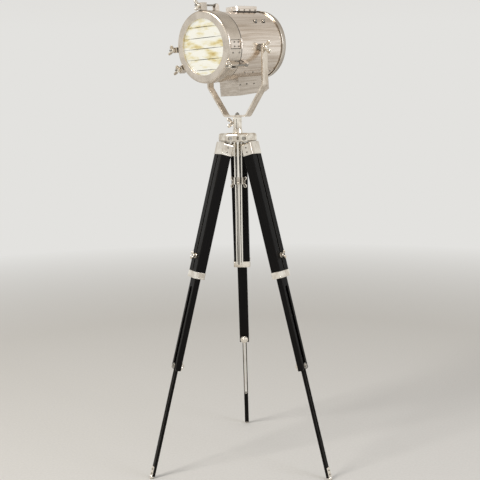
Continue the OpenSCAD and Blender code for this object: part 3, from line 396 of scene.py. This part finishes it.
# %% Give each measured solid its finish
wearers = [
    (cast_nickel, "hub_casting sleeve_collar collar_screw_front collar_screw_left collar_screw_right "
                  "yoke_socket socket_screw pivot_knob_left pivot_knob_right"),
    (steel, "leg_hinge_bolts yoke_bolt cable_gland pivot_studs"),
    (mast_nickel, "mast_sleeve mast_tube"),
    (head_nickel, "drum_shell vent_cap door_hinge"),
    (box_nickel, "control_box box_side_plates"),
    (ceramic, "lamp_holder terminal_block"),
    (door_nickel, "front_door"),
    (cover_nickel, "rear_cover"),
    (bar_nickel, "yoke_bracket"),
    (mirror, "reflector"),
    (bulb_glow, "bulb"),
    (glass, "glass_strips"),
]
dress = {name: material for material, names in wearers for name in names.split()}
for spot in ("top", "lower_left", "lower_right", "right"):
    dress["swing_bolt_" + spot] = steel
    dress["wing_nut_" + spot] = cast_nickel
for side in LEGS:
    for part in ("leg_cap", "leg_band", "upper_knob", "lower_knob", "foot"):
        dress[part + "_" + side] = leg_nickel[side]
    for part in ("leg_rails", "middle_bar", "lower_bar"):
        dress[part + "_" + side] = leg_lacquer[side]
for name, material in dress.items():
    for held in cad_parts[name].material_slots:
        held.material = material
print("undressed:", sorted(set(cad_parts) - set(dress)))

# %% [markdown]
# ## Light
# One soft lamp stands in front to the left and above, where the photograph's shadow says it was,
# with a weaker one to the right. Polished metal shows its room, so the room matters as much as
# the lamps: pale near the floor, darker overhead, which gives a nickel drum its bands. A picture of
# a real room would give richer reflections, but this file holds no pictures.

# %% Room and lamps
ROOM = "#e3e2df"
LAMP_MIDDLE = Vector((0, -0.065, 0.95))  # metres; both lamps look at it
world = bpy.data.worlds.new("room")
scene.world = world
world.use_nodes = True
tree = world.node_tree
tree.nodes.clear()
around = add(tree, "ShaderNodeTexCoord").outputs["Generated"]
upward = add(tree, "ShaderNodeSeparateXYZ", [around]).outputs["Z"]
sky = add(tree, RAMP, [upward], [(0.12, ROOM), (0.5, "#cec9c2"), (1.0, "#a8a39c")])
glow = add(tree, "ShaderNodeBackground", {"Color": sky, "Strength": 1.0})
add(tree, "ShaderNodeOutputWorld", {"Surface": glow})


def soft_lamp(name, place, size, power, tint):
    """A square lamp at a place, turned to look at the floor lamp's middle."""
    data = bpy.data.lights.new(name, "AREA")
    data.shape, data.size, data.energy, data.color = "SQUARE", size, power, linear(tint)[:3]
    lamp = bpy.data.objects.new(name, data)
    scene.collection.objects.link(lamp)
    aim = LAMP_MIDDLE - Vector(place)
    lamp.matrix_world = Matrix.Translation(place) @ aim.to_track_quat("-Z", "Y").to_matrix().to_4x4()


soft_lamp("key_lamp", (-2.3, -1.9, 3.6), 1.1, 85, "#fffaf3")
soft_lamp("side_lamp", (2.6, -1.6, 2.2), 1.2, 24, "#f2f4ff")

# %% [markdown]
# ## From grids to pieces
# Every shape below is a grid of points: rings or sections in rows, worked out as whole arrays. Quads
# join each row to the next, and a cap closes each end. Blender's own cylinders and cubes would be
# quicker to place, but a grid can swell, thin and bend along the way.

# %% Helpers that turn grids into pieces
def full_turn(cols):
    """Angles of one turn in even steps, without the last, which is the first again."""
    return np.linspace(0, 2 * np.pi, cols + 1)[:-1]


def grid_faces(rows, cols, closed_rows=False):
    """Quads of a grid whose columns wrap round: corner (i, j) joins (i, j+1), (i+1, j+1) and (i+1, j)."""
    i, j = np.meshgrid(np.arange(rows if closed_rows else rows - 1), np.arange(cols), indexing="ij")
    i2, j2 = (i + 1) % rows, (j + 1) % cols
    return np.stack([i * cols + j, i * cols + j2, i2 * cols + j2, i2 * cols + j], -1).reshape(-1, 4).tolist()


def shell(rings, closed_rows=False, caps=True):
    """A closed skin from rings of points, shape (rows, cols, 3): quads between rings, a cap on each end."""
    rows, cols = rings.shape[:2]
    faces = grid_faces(rows, cols, closed_rows)
    if caps and not closed_rows:
        faces += [list(range(cols)), list(range((rows - 1) * cols, rows * cols))]
    return rings.reshape(-1, 3), faces


def piece(name, parts, body, materials, sharp=35, place=None):
    """One mesh from several shells, each with its material's number; smooth but for edges over an angle."""
    points, faces, paint = [], [], []
    for part in parts:
        own, quads, number = part if len(part) == 3 else (*part, 0)
        faces += [[v + len(points) for v in q] for q in quads]
        paint += [number] * len(quads)
        points += np.asarray(own).tolist()
    mesh = bpy.data.meshes.new(name)
    mesh.from_pydata((placed(place, points) if place is not None else np.array(points)).tolist(), [], faces)
    mesh.polygons.foreach_set("material_index", paint)
    for material in materials:
        mesh.materials.append(material)
    work = bmesh.new()
    work.from_mesh(mesh)
    bmesh.ops.recalc_face_normals(work, faces=work.faces)
    work.to_mesh(mesh)
    work.free()
    mesh.shade_smooth()
    mesh.set_sharp_from_angle(angle=math.radians(sharp))
    made = bpy.data.objects.new(name, mesh)
    scene.collection.objects.link(made)
    if body:
        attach(made, body)
    return made


print("faces of a closed ring of 4 by 3:", len(grid_faces(4, 3, True)))

# %% [markdown]
# ## The floor
# The floor is a wide sheet of matt paper that fades into the room's tone, so no horizon line cuts
# the picture. A curved backdrop does that in a studio; a fade by distance does it from every side.

# %% Studio floor
FADE = (2.2, 5.5)  # metres from the middle: where the paper starts to fade, and where it has gone
paper, tree, shader = finish_of("matt_floor_paper", Roughness=0.85)
at = add(tree, "ShaderNodeTexCoord").outputs["Object"]
away = add(tree, "ShaderNodeVectorMath", [at], operation="LENGTH").outputs["Value"]
fibre = add(tree, NOISE, {"Vector": at, "Scale": 120.0, "Detail": 4.0})  # tufts of 8 mm
feed(tree, shader, {"Base Color": add(tree, RAMP, [fibre], [(0.3, "#d8d8d6"), (0.7, "#dededc")])})
room_glow = add(tree, "ShaderNodeEmission", {"Color": linear(ROOM), "Strength": 1.0})
faded = add(tree, RANGE, [away, *FADE, 0.0, 1.0])
blend = add(tree, "ShaderNodeMixShader", [faded, shader, room_glow])
feed(tree, tree.nodes["way out"], {"Surface": blend})

angle = full_turn(96)
reach = np.array([0.0001, 1.2, 2.5, 4, 7, 12, 30])[:, None]  # radii of the sheet's rings, in metres
sheet = np.stack([reach * np.cos(angle), reach * np.sin(angle), np.zeros((len(reach), 96))], -1)
floor = piece("studio_floor", [shell(sheet, caps=False)], None, [paper])
print("floor faces:", len(floor.data.polygons))

# %% [markdown]
# ## Turned parts
# Studs, bosses, the bulb and the clamp knobs are all turned or cast round. Each is a profile of
# radius against height, carried round an axis. A Spin or Screw modifier would do the same from an
# edge; a formula keeps the numbers next to the shape. A part is made upright, in its own frame, and
# moved to its place, because the screw that it stands for was made on a lathe, not on the lamp.

# %% Turned shells and how they are moved
TIP = 0.01  # a profile ends this close to its axis, so that its pole is closed by a tiny cap


def turned(profile, cols=32, closed=False):
    """A profile of (radius, height) rows turned about z: x = r cos u, y = r sin u."""
    profile = np.asarray(profile, float)
    u = full_turn(cols)
    flat = profile[:, :1]
    rings = np.stack([flat * np.cos(u), flat * np.sin(u), np.repeat(profile[:, 1:2], cols, 1)], -1)
    return shell(rings, closed_rows=closed)


def rod(radius, low, high):
    """A plain round shank from low to high."""
    return turned([(TIP, low), (radius, low), (radius, high), (TIP, high)], 24)


def moved(part, place):
    """The same shell in another frame: the place's turn times each point, plus its origin in millimetres."""
    m = np.array(place)
    return (np.asarray(part[0]) @ m[:3, :3].T + m[:3, 3] * 1000, *part[1:])


def facing(point, normal):
    """A frame at a point in millimetres whose z looks along a normal."""
    return shift(*point) @ Vector(normal).to_track_quat("Z", "Y").to_matrix().to_4x4()


def boss(radius, height, hole=0.0, depth=0.0):
    """Half section of a cast boss: a side with a slight waist, r = R (1 - 0.08 sin), a quarter-round
    shoulder, and a hole of a depth."""
    rise = np.linspace(0, 1, 7)
    quarter = np.linspace(0, np.pi / 2, 7)[1:]
    bend = min(0.42 * height, radius - hole - 0.4)
    side = np.stack([radius * (1 - 0.08 * np.sin(np.pi * rise)), rise * (height - bend)], 1)
    shoulder = np.stack([radius - bend + bend * np.cos(quarter), height - bend + bend * np.sin(quarter)], 1)
    through = depth >= height
    if through:
        start, end = [(hole, 0)], [(hole, height - 0.3)]
    else:
        start = [(TIP, depth), (hole, depth), (hole, 0)] if hole else [(TIP, 0)]
        end = [(TIP, height)]
    return turned(np.vstack([start, side, shoulder, end]), 28, closed=through)


print("a boss:", len(boss(7.5, 13, 3.05, 13)[0]), "points")

# %% [markdown]
# ## Wing heads
# Thirteen screws and nuts of this lamp are turned by hand. Their wings are cast in one with the boss:
# flat ovals that leave it low, bend outward and forward and end round. Each wing here is a row of
# ovals along a Bezier curve, so it thins and swells without a seam. Sculpting or subdividing a cage
# would also work, but each screw has its own span and reach, and a formula takes both as numbers.

# %% One wing, and a whole wing head
def wing(boss_r, boss_h, span, reach, thick, ear_r, side):
    """Ovals along a quadratic Bezier from boss to tip; near the tip the width follows
    ear_r cos(angle), which closes it round."""
    t = np.linspace(0, 1, 15)[:, None]
    a = np.array((0.25 * boss_r, 0.36 * boss_h))
    b = np.array((1.2 * boss_r, 0.3 * boss_h))
    c = np.array((span / 2 - ear_r, reach - ear_r))
    middle = (1 - t) ** 2 * a + 2 * t * (1 - t) * b + t ** 2 * c
    slope = 2 * (1 - t) * (b - a) + 2 * t * (c - b)
    slope /= np.linalg.norm(slope, axis=1, keepdims=True)
    close = np.linspace(0, 1.5, 8)[1:, None]
    middle = np.vstack([middle, c + slope[-1] * ear_r * np.sin(close)])
    slope = np.vstack([slope, np.repeat(slope[-1:], len(close), 0)])
    neck = 0.3 * boss_h
    half = np.vstack([neck + (ear_r - neck) * t ** 1.4, ear_r * np.cos(close)])
    deep = np.vstack([thick * (0.72 - 0.22 * t), thick * 0.5 * np.cos(close) ** 0.7])
    u = full_turn(16)
    x = side * (middle[:, :1] - slope[:, 1:] * half * np.cos(u))
    z = middle[:, 1:] + slope[:, :1] * half * np.cos(u)
    return shell(np.stack([x, deep * np.sin(u), z], -1))


def wing_head(boss_r, boss_h, span, reach, thick, ear_r, hole=0.0, depth=0.0):
    """A boss with two wings, standing on z = 0."""
    sizes = (boss_r, boss_h, span, reach, thick, ear_r)
    return [boss(boss_r, boss_h, hole, depth), wing(*sizes, 1), wing(*sizes, -1)]


def wing_screw(sizes, lift, low, high):
    """A wing head lifted off its seat, on a shank 6 mm thick from low to high."""
    return [moved(part, shift(0, 0, lift)) for part in wing_head(*sizes)] + [rod(3, low, high)]


def replace_with(name, parts, node, materials, place, body=None, sharp=35):
    """A piece that stands for one measured solid and moves with its body, often of the same name."""
    made = piece(name, parts, body or node, materials, sharp, place)
    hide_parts(node)


print("points of a wing:", len(wing(7.5, 13, 36, 22, 3.6, 6.5, 1)[0]))

# %% Wing nuts of the door and knobs of the yoke
# Sizes are boss radius and height, span over both wings, reach, thickness and radius of an ear.
# Each latch has its clock angle round the head and its nut's own turn, in degrees.
LATCHES = {"top": (0, 0), "lower_left": (120, 60), "lower_right": (240, 35), "right": (270, 65)}
LATCH_X, LATCH_OUT, KNOB_OUT = 170.8, 135, 129.4  # along the head, and out from its axis
latch_nut = wing_head(7.5, 13, 36, 22, 3.6, 6.5, hole=3.05, depth=13)
tilt_knob = wing_head(9, 11, 44, 24, 4.5, 7.5, hole=5.05, depth=9)
for spot, (clock, own_turn) in LATCHES.items():
    place = HEAD @ turn("X", -clock) @ shift(LATCH_X, 0, LATCH_OUT) @ turn("Y", 90) @ turn("Z", own_turn)
    replace_with("cast_wing_nut_" + spot, latch_nut, "wing_nut_" + spot, [cast_nickel], place)
for side, s in (("left", 1), ("right", -1)):
    place = HEAD @ shift(0, s * KNOB_OUT, -DRUM_LIFT) @ turn("X", -90 * s) @ turn("Z", 90)
    replace_with("cast_tilt_knob_" + side, tilt_knob, "pivot_knob_" + side, [cast_nickel], place)

# %% Wing screws of the collar, the socket and the rails
COLLAR_HEIGHT, SOCKET_HEIGHT, SOCKET_TURN = 1028.276, 1238.526, 50  # over the floor; off the head's aim
RAIL_SCREW = -423  # along a leg from its hinge
collar_screw = wing_screw((4.4, 9, 40, 16, 3.6, 6.5), 18, 12.5, 19)
for spot, azimuth in (("front", 270), ("left", 150), ("right", 30)):
    place = MAST @ shift(0, 0, COLLAR_HEIGHT) @ turn("Z", azimuth) @ turn("Y", 90)
    replace_with("cast_collar_screw_" + spot, collar_screw, "collar_screw_" + spot, [cast_nickel], place)
place = MAST @ shift(0, 0, SOCKET_HEIGHT) @ turn("Z", PAN - SOCKET_TURN) @ turn("Y", 90)
socket_screw = wing_screw((5, 9, 34, 20, 5, 6.5), 16.7, 12.5, 18)
replace_with("cast_socket_screw", socket_screw, "socket_screw", [cast_nickel], place)
washer = turned([(TIP, 19.4), (8.6, 19.4), (9, 19.7), (9, 20.6), (8.5, 21), (TIP, 21)], 32)
rail_screw = wing_screw((5.5, 9, 30, 18, 3.6, 6.5), 20.9, 1, 20) + [washer]
for side, azimuth in LEGS.items():
    place = leg_frame(azimuth) @ shift(0, 0, RAIL_SCREW) @ turn("Y", 90)
    replace_with("cast_rail_screw_" + side, rail_screw, "upper_knob_" + side, [cast_nickel], place)

# %% [markdown]
# ## Knurled clamp knobs
# Each lower leg is held by a round knob at the back with a carriage bolt through the slot and a
# washer and nut in front. The knob's rim is knurled so that fingers grip it. Real knurling is a
# millimetre wide; twenty-four broad flutes read better from three metres and are as true to such
# knobs. A wave added to the radius makes them; an array of cuts would cost far more faces.

# %% The clamp knobs on the legs
def fluted(profile, depth, flutes, cols):
    """Turned profile whose radius also falls by depth (1 + cos(n u)) / 2 in each row that asks for it."""
    profile = np.asarray(profile, float)
    u = full_turn(cols)
    r = profile[:, :1] - depth * profile[:, 2:3] * (1 + np.cos(flutes * u)) / 2
    return shell(np.stack([r * np.cos(u), r * np.sin(u), np.repeat(profile[:, 1:2], cols, 1)], -1))


def hexagon(across, low, high):
    """A nut: radius is across/2 over the cosine of the angle from the nearest flat, cut back by a
    turned chamfer at the top."""
    u = full_turn(36)
    r = across / 2 / np.cos((u + np.pi / 6) % (np.pi / 3) - np.pi / 6)
    uncut = 10 * across
    rows = [(low, uncut), (high - 0.06 * across, uncut), (high, 0.53 * across), (high, 0.4 * across)]
    cut = [(np.minimum(r, most), z) for z, most in rows]
    return shell(np.stack([np.stack([k * np.cos(u), k * np.sin(u), np.full(36, z)], -1) for k, z in cut]))


CLAMP = -818  # along a leg from its hinge
# Radius, height and flutes: flat back, fluted rim, then the round hub that the bolt's end sits in.
knob = fluted([(2.8, -12.2, 0), (14, -12.0, 0), (15.2, -12.6, 1), (15.5, -13.4, 1), (15.5, -16.6, 1),
               (15.2, -17.6, 1), (13.6, -18.4, 0), (11, -18.4, 0), (9.6, -19.4, 0), (8.2, -21.5, 0),
               (7.9, -24, 0), (7, -25.2, 0), (TIP, -25.4, 0)], depth=1.1, flutes=24, cols=96)
bolt = turned([(TIP, -15.4), (2.8, -15.4), (2.8, 15.4), (2.4, 15.9), (TIP, 15.9)], 24)
washer = turned([(TIP, 11.4), (10.1, 11.4), (10.5, 11.8), (10.5, 12.5), (10.1, 12.9), (TIP, 12.9)], 36)
clamp = [knob, (*bolt, 1), (*washer, 1), (*hexagon(9.4, 12.4, 16.9), 1)]
for side, azimuth in LEGS.items():
    place = leg_frame(azimuth) @ shift(0, 0, CLAMP) @ turn("Y", 90)
    replace_with("knurled_knob_" + side, clamp, "lower_knob_" + side, [leg_nickel[side], steel], place,
                 sharp=30)
print("knob points:", len(knob[0]))

# %% [markdown]
# ## The bulb
# Behind the glass sits a large frosted bulb with a screw cap. The envelope is blown: a ball that
# runs into a neck through one smooth curve. The cap's thread is a real helix here, since height and
# angle together set the radius; a stack of rings would look the same from far off but not when the
# holder is opened.

# %% Envelope and threaded cap
BALL, BALL_MIDDLE, NECK_FOOT = 30, 20, -29  # the ball's radius and height, and where the neck starts
THREAD_PITCH, CAP, RIDGE = 3.6, 12.1, 0.45  # the thread's pitch, mean radius and half depth
CAP_TIP = -56  # the contact's end
lift = np.linspace(-0.51, 1, 22)
ball = np.stack([BALL * np.sqrt(1 - np.minimum(lift, 0.99999) ** 2), BALL_MIDDLE + BALL * lift], 1)
t = np.linspace(0, 1, 14)[:-1, None]
neck_start, low_pull, high_pull = (np.array(p) for p in ((13.0, NECK_FOOT), (13.6, -16), (18.5, -5.5)))
neck = ((1 - t) ** 3 * neck_start + 3 * t * (1 - t) ** 2 * low_pull + 3 * t ** 2 * (1 - t) * high_pull
        + t ** 3 * ball[0])
envelope = turned(np.vstack([[(TIP, NECK_FOOT)], neck, ball[:-1], [(TIP, BALL_MIDDLE + BALL)]]), 48)
u = full_turn(48)
height = np.linspace(-53, -30, 70)[:, None]
thread = CAP + RIDGE * np.cos(2 * np.pi * height / THREAD_PITCH + u)
cap = shell(np.stack([thread * np.cos(u), thread * np.sin(u), height + 0 * u], -1))
contact = turned([(TIP, CAP_TIP), (3.6, CAP_TIP), (4.4, -55.4), (5, -54.4), (9.5, -53.4), (11.6, -52.6),
                  (TIP, -52)], 36)
replace_with("blown_bulb", [envelope, (*cap, 1), (*contact, 1)], "bulb", [bulb_glow, brass],
             HEAD @ turn("Y", 90), body="head")
print("bulb length:", BALL_MIDDLE + BALL - CAP_TIP, "mm")

# %% [markdown]
# ## Joints between the glass strips
# The front glass is cut in strips so that it can stretch when it gets hot. Between the strips run
# thin dark sealing cords, which draw the five level lines across the bright face. They could be a
# stripe in the glass material, but then they would vanish from the side; so they are five fine oval
# bars, each as long as the chord of the opening at its height.

# %% Five sealing cords
def bar_between(start, end, wide, deep, rows=9, cols=10):
    """An oval bar from start to end along y: the section shrinks to the ends as the fourth root of
    1 - s squared."""
    s = np.linspace(-0.999, 0.999, rows)[:, None]
    u = full_turn(cols)
    size = (1 - s ** 2) ** 0.25
    start, end = np.array(start, float), np.array(end, float)
    middle = (start + end) / 2 + s[:, :, None] * (end - start) / 2
    section = np.stack([deep * np.cos(u), 0 * u, wide * np.sin(u)], -1)
    return shell(middle + size[:, :, None] * section)


GLASS_X, OPENING = 160, 94.2  # the glass's place along the head, and its opening's radius
cords = []
for z in (65.5, 30.5, -4.5, -39.5, -74.5):
    chord = math.sqrt(OPENING ** 2 - z ** 2)
    cords.append(bar_between((GLASS_X, -chord, z), (GLASS_X, chord, z), wide=1.5, deep=2.6))
piece("strip_sealing_cords", cords, "head", [rubber], place=HEAD)
print("cords:", len(cords))

# %% [markdown]
# ## Gaskets and the cover's bead
# Thin rubber gaskets keep rain out under the vent cap and behind the door, and each shows as a dark
# seam; the one under the vent cap also stands as painted shade in the gap under the cap. The rear
# cover's rim is rolled to a round bead that catches the light. A dark line painted on the drum would
# do from far off, but a seam has to run round every side.

# %% Gaskets of the vent cap and the door, and the bead of the rear cover
# The vent cap's gasket fills the gap under the cap with a dark band: painted shade.
u = full_turn(64)
oval_x = -43 + 47 * np.sign(np.cos(u)) + 16.5 * np.cos(u)
oval_y = 7 * np.sign(np.sin(u)) + 16.5 * np.sin(u)
on_drum_z = np.sqrt((DRUM + 0.05) ** 2 - oval_y ** 2)
levels = (on_drum_z, on_drum_z + 0.4, np.full(64, 117.0), np.full(64, 117.4))
seat = np.stack([np.stack([oval_x, oval_y, z], -1) for z in levels])
piece("vent_cap_shade_gasket", [shell(seat)], "head", [rubber], place=HEAD)
inside = DRUM + 0.15
gasket = turned([(inside, 103), (116.2, 102.6), (117.2, 103.4), (117.5, 105), (117.2, 107.4), (116, 107.9),
                 (inside, 107.9)], 128, closed=True)
piece("door_gasket", [gasket], "head", [rubber], place=HEAD @ turn("Y", 90))
BEAD, BEAD_RING, BEAD_X = 1.4, 117.3, -112.6  # the bead's radius, its ring's radius and place
u = full_turn(12)
bead = turned(np.stack([BEAD_RING + BEAD * np.cos(u), BEAD_X + BEAD * np.sin(u)], 1), 128, closed=True)
piece("cover_bead", [bead], "head", [cast_nickel], place=HEAD @ turn("Y", 90))
print("gasket points:", len(gasket[0]), "bead points:", len(bead[0]))

# %% [markdown]
# ## Small screws and dome nuts
# Dark dots on the vent cap, the door, the box and the legs are pan-head screws. Their recess is
# what shows, so each head is a low dome with a well in the middle that is painted dark as shade.
# The two pairs on the drum's shoulders are dome nuts on rubber washers. The fifty-eight screws
# share eight meshes, one for each part that carries them; single objects would only slow the file down.

# %% Helpers for screws, and the drum's dome nuts
SCREW, COVER_SCREW, SHOE_SCREW = 2.9, 4, 2.8  # radii of the heads


def pan_head(radius, height=2.2):
    """A low dome turned round a hole, and a well turned to fit it, two shells so the well can be
    painted dark as shade.
    """
    well = turned([(TIP, height * 0.3), (radius * 0.42, height * 0.3), (radius * 0.45, height),
                   (radius * 0.36, height * 1.02), (TIP, height * 0.32)], 12)
    dome = turned([(radius * 0.44, -0.4), (radius, -0.4), (radius, height * 0.35),
                   (radius * 0.86, height * 0.82), (radius * 0.62, height * 1.04),
                   (radius * 0.44, height * 1.06)], 12, closed=True)
    return [(*dome, 0), (*well, 1)]


def screws(name, body, spots, place, radius):
    """One piece of several screws; a spot is a point and the way out of the surface."""
    parts = [moved(part, facing(point, normal)) for point, normal in spots for part in pan_head(radius)]
    piece(name, parts, body, [steel, shaded_recess], 40, place)


def on_drum(x, clock, radius=DRUM):
    """A point on a cylinder round the head's axis and its outward normal, clock in degrees from the top."""
    a = math.radians(clock)
    return (x, radius * math.sin(a), radius * math.cos(a)), (0, math.sin(a), math.cos(a))


dome = turned([(TIP, 3.6), (4.3, 3.6), (4.4, 4.6), (4.1, 6.2), (3.1, 7.6), (1.6, 8.4), (TIP, 8.6)], 24)
seal = turned([(TIP, -0.5), (7.2, -0.5), (7.5, -0.1), (7.5, 0.6), (7.1, 1.0), (TIP, 1.0)], 32)
nut = ((*seal, 1), (*hexagon(9.6, 0.9, 4.2), 0), (*dome, 0))
nut_spots = [facing(*on_drum(x, clock)) for clock in (49, -49) for x in (-8.5, -51.5)]
domes = [moved(part, place) for place in nut_spots for part in nut]
piece("drum_dome_nuts", domes, "head", [steel, rubber], 35, HEAD)
print("dome nuts:", len(nut_spots))

# %% Screws of the head, and the dark shim plate under the door's hinge, painted shade round the leaf
spots = [on_drum(x, clock, 115.2) for clock in (143, -143) for x in (44, 2, -92)]  # the box's flanges
spots += [on_drum(x, clock, 118.5) for clock in (103, 117, -103, -66) for x in (118, 150)]  # the door's ring
spots += [((x, s * 44, z), (0, s, 0)) for s in (1, -1)
          for x, z in ((43, -132.5), (8.5, -130.5), (-30.5, -131.5), (-96, -129))]  # the box's side plates
spots += [((x, s * 25, 118.5), (0, s, 0)) for s in (1, -1) for x in (0, -28, -58, -86)]  # the vent cap
spots += [((x, 121.5, z), (0, 1, 0)) for x in (127, 147) for z in (7, -7)]  # the door's hinge
screws("head_screws", "head", spots, HEAD, SCREW)
# The shim is a dark plate a little wider than the hinge leaf: painted shade round the leaf.
corner = full_turn(32)
plate_x = 136.5 + 23.2 * np.sign(np.cos(corner + 1e-6)) + 2 * np.cos(corner)
plate_z = 12.6 * np.sign(np.sin(corner + 1e-6)) + 2 * np.sin(corner)
plate = np.stack([np.stack([plate_x, np.full(32, y), plate_z], -1) for y in (116.0, 118.8, 119.3)])
piece("hinge_shade_shim", [shell(plate)], "head", [rubber], 30, HEAD)
print("screws on the head:", len(spots), "shim points:", plate.size // 3)

# %% Screws of the rear cover, the leg caps and the shoes
clocks = np.radians(np.arange(6) * 60 + 30)
spots = [((-130, 100 * math.sin(a), 100 * math.cos(a)), (-1, 0, 0)) for a in clocks]
screws("rear_cover_screws", "head", spots, HEAD, COVER_SCREW)
for side, azimuth in LEGS.items():
    spots = [((0, s * 31, -down), (0, s, 0)) for s in (1, -1) for down in (33, 49)]
    screws("leg_screws_" + side, "leg_" + side + "_upper", spots, leg_frame(azimuth), SCREW)
    spots = [((7, 0, -down), (1, 0, 0)) for down in (1192, 1207)]
    screws("shoe_screws_" + side, "leg_" + side + "_lower", spots, leg_frame(azimuth), SHOE_SCREW)

# %% [markdown]
# ## Flanges of the control box
# The box hangs under the drum on two curved flanges that follow the drum for a few centimetres and
# carry its screws. Each is sheet a millimetre thick: an arc of the drum's own circle, a little
# larger, carried along the drum. Bending a plane with a modifier would give the same arc.

# %% Curved flanges
def flange(side):
    """Section between two arcs, 0.1 and 1.3 mm off the drum, carried along x."""
    a = np.radians(side * np.linspace(139.5, 158.5, 16))
    arc = np.stack([0 * a, np.sin(a), np.cos(a)], -1)
    section = np.vstack([115.3 * arc, (114.1 * arc)[::-1]])
    xs = np.array([-110, -109, 49, 50.0])[:, None, None] * np.array([1.0, 0, 0])
    return shell(section + xs)


piece("box_flanges", [flange(1), flange(-1)], "head", [head_nickel], 30, HEAD)
print("flange points:", len(flange(1)[0]))

# %% [markdown]
# ## Slot liners
# The lower bars' slots are lined with a folded nickel strip, which makes the bright line down the
# inner face of each leg. Its section is an angle: a wall in the slot and a lip on the face. The
# section is carried round the slot's outline; a Solidify modifier on a flat ring can't give the lip.

# %% Slot liners on the inner faces of the lower bars
def stadium(widen, low, high, radius, cols=40):
    """Outline of a slot: two half circles of radius + widen about its ends, joined straight; the angle
    picks the point."""
    u = full_turn(cols) + np.pi / cols
    r = radius + widen
    return r * np.cos(u), np.where(np.sin(u) > 0, high, low) + r * np.sin(u)


SLOT = (-1072.8, -812.0, 3.15)  # the slot's ends along the leg from the hinge, and its half width
# The section: how far out from the slot's edge, and the place across the bar.
section = [(-0.25, -6.1), (1.7, -6.1), (2.0, -5.9), (2.0, -5.55), (0.0, -5.5), (0.0, -2.4), (-0.25, -2.4)]
rings = [(x, *stadium(widen, *SLOT)) for widen, x in section]
liner = shell(np.stack([np.stack([np.full(40, x), y, z], -1) for x, y, z in rings]), closed_rows=True)
for side, azimuth in LEGS.items():
    body, place = "leg_" + side + "_lower", leg_frame(azimuth)
    piece("slot_liner_" + side, [liner], body, [leg_nickel[side]], 30, place)
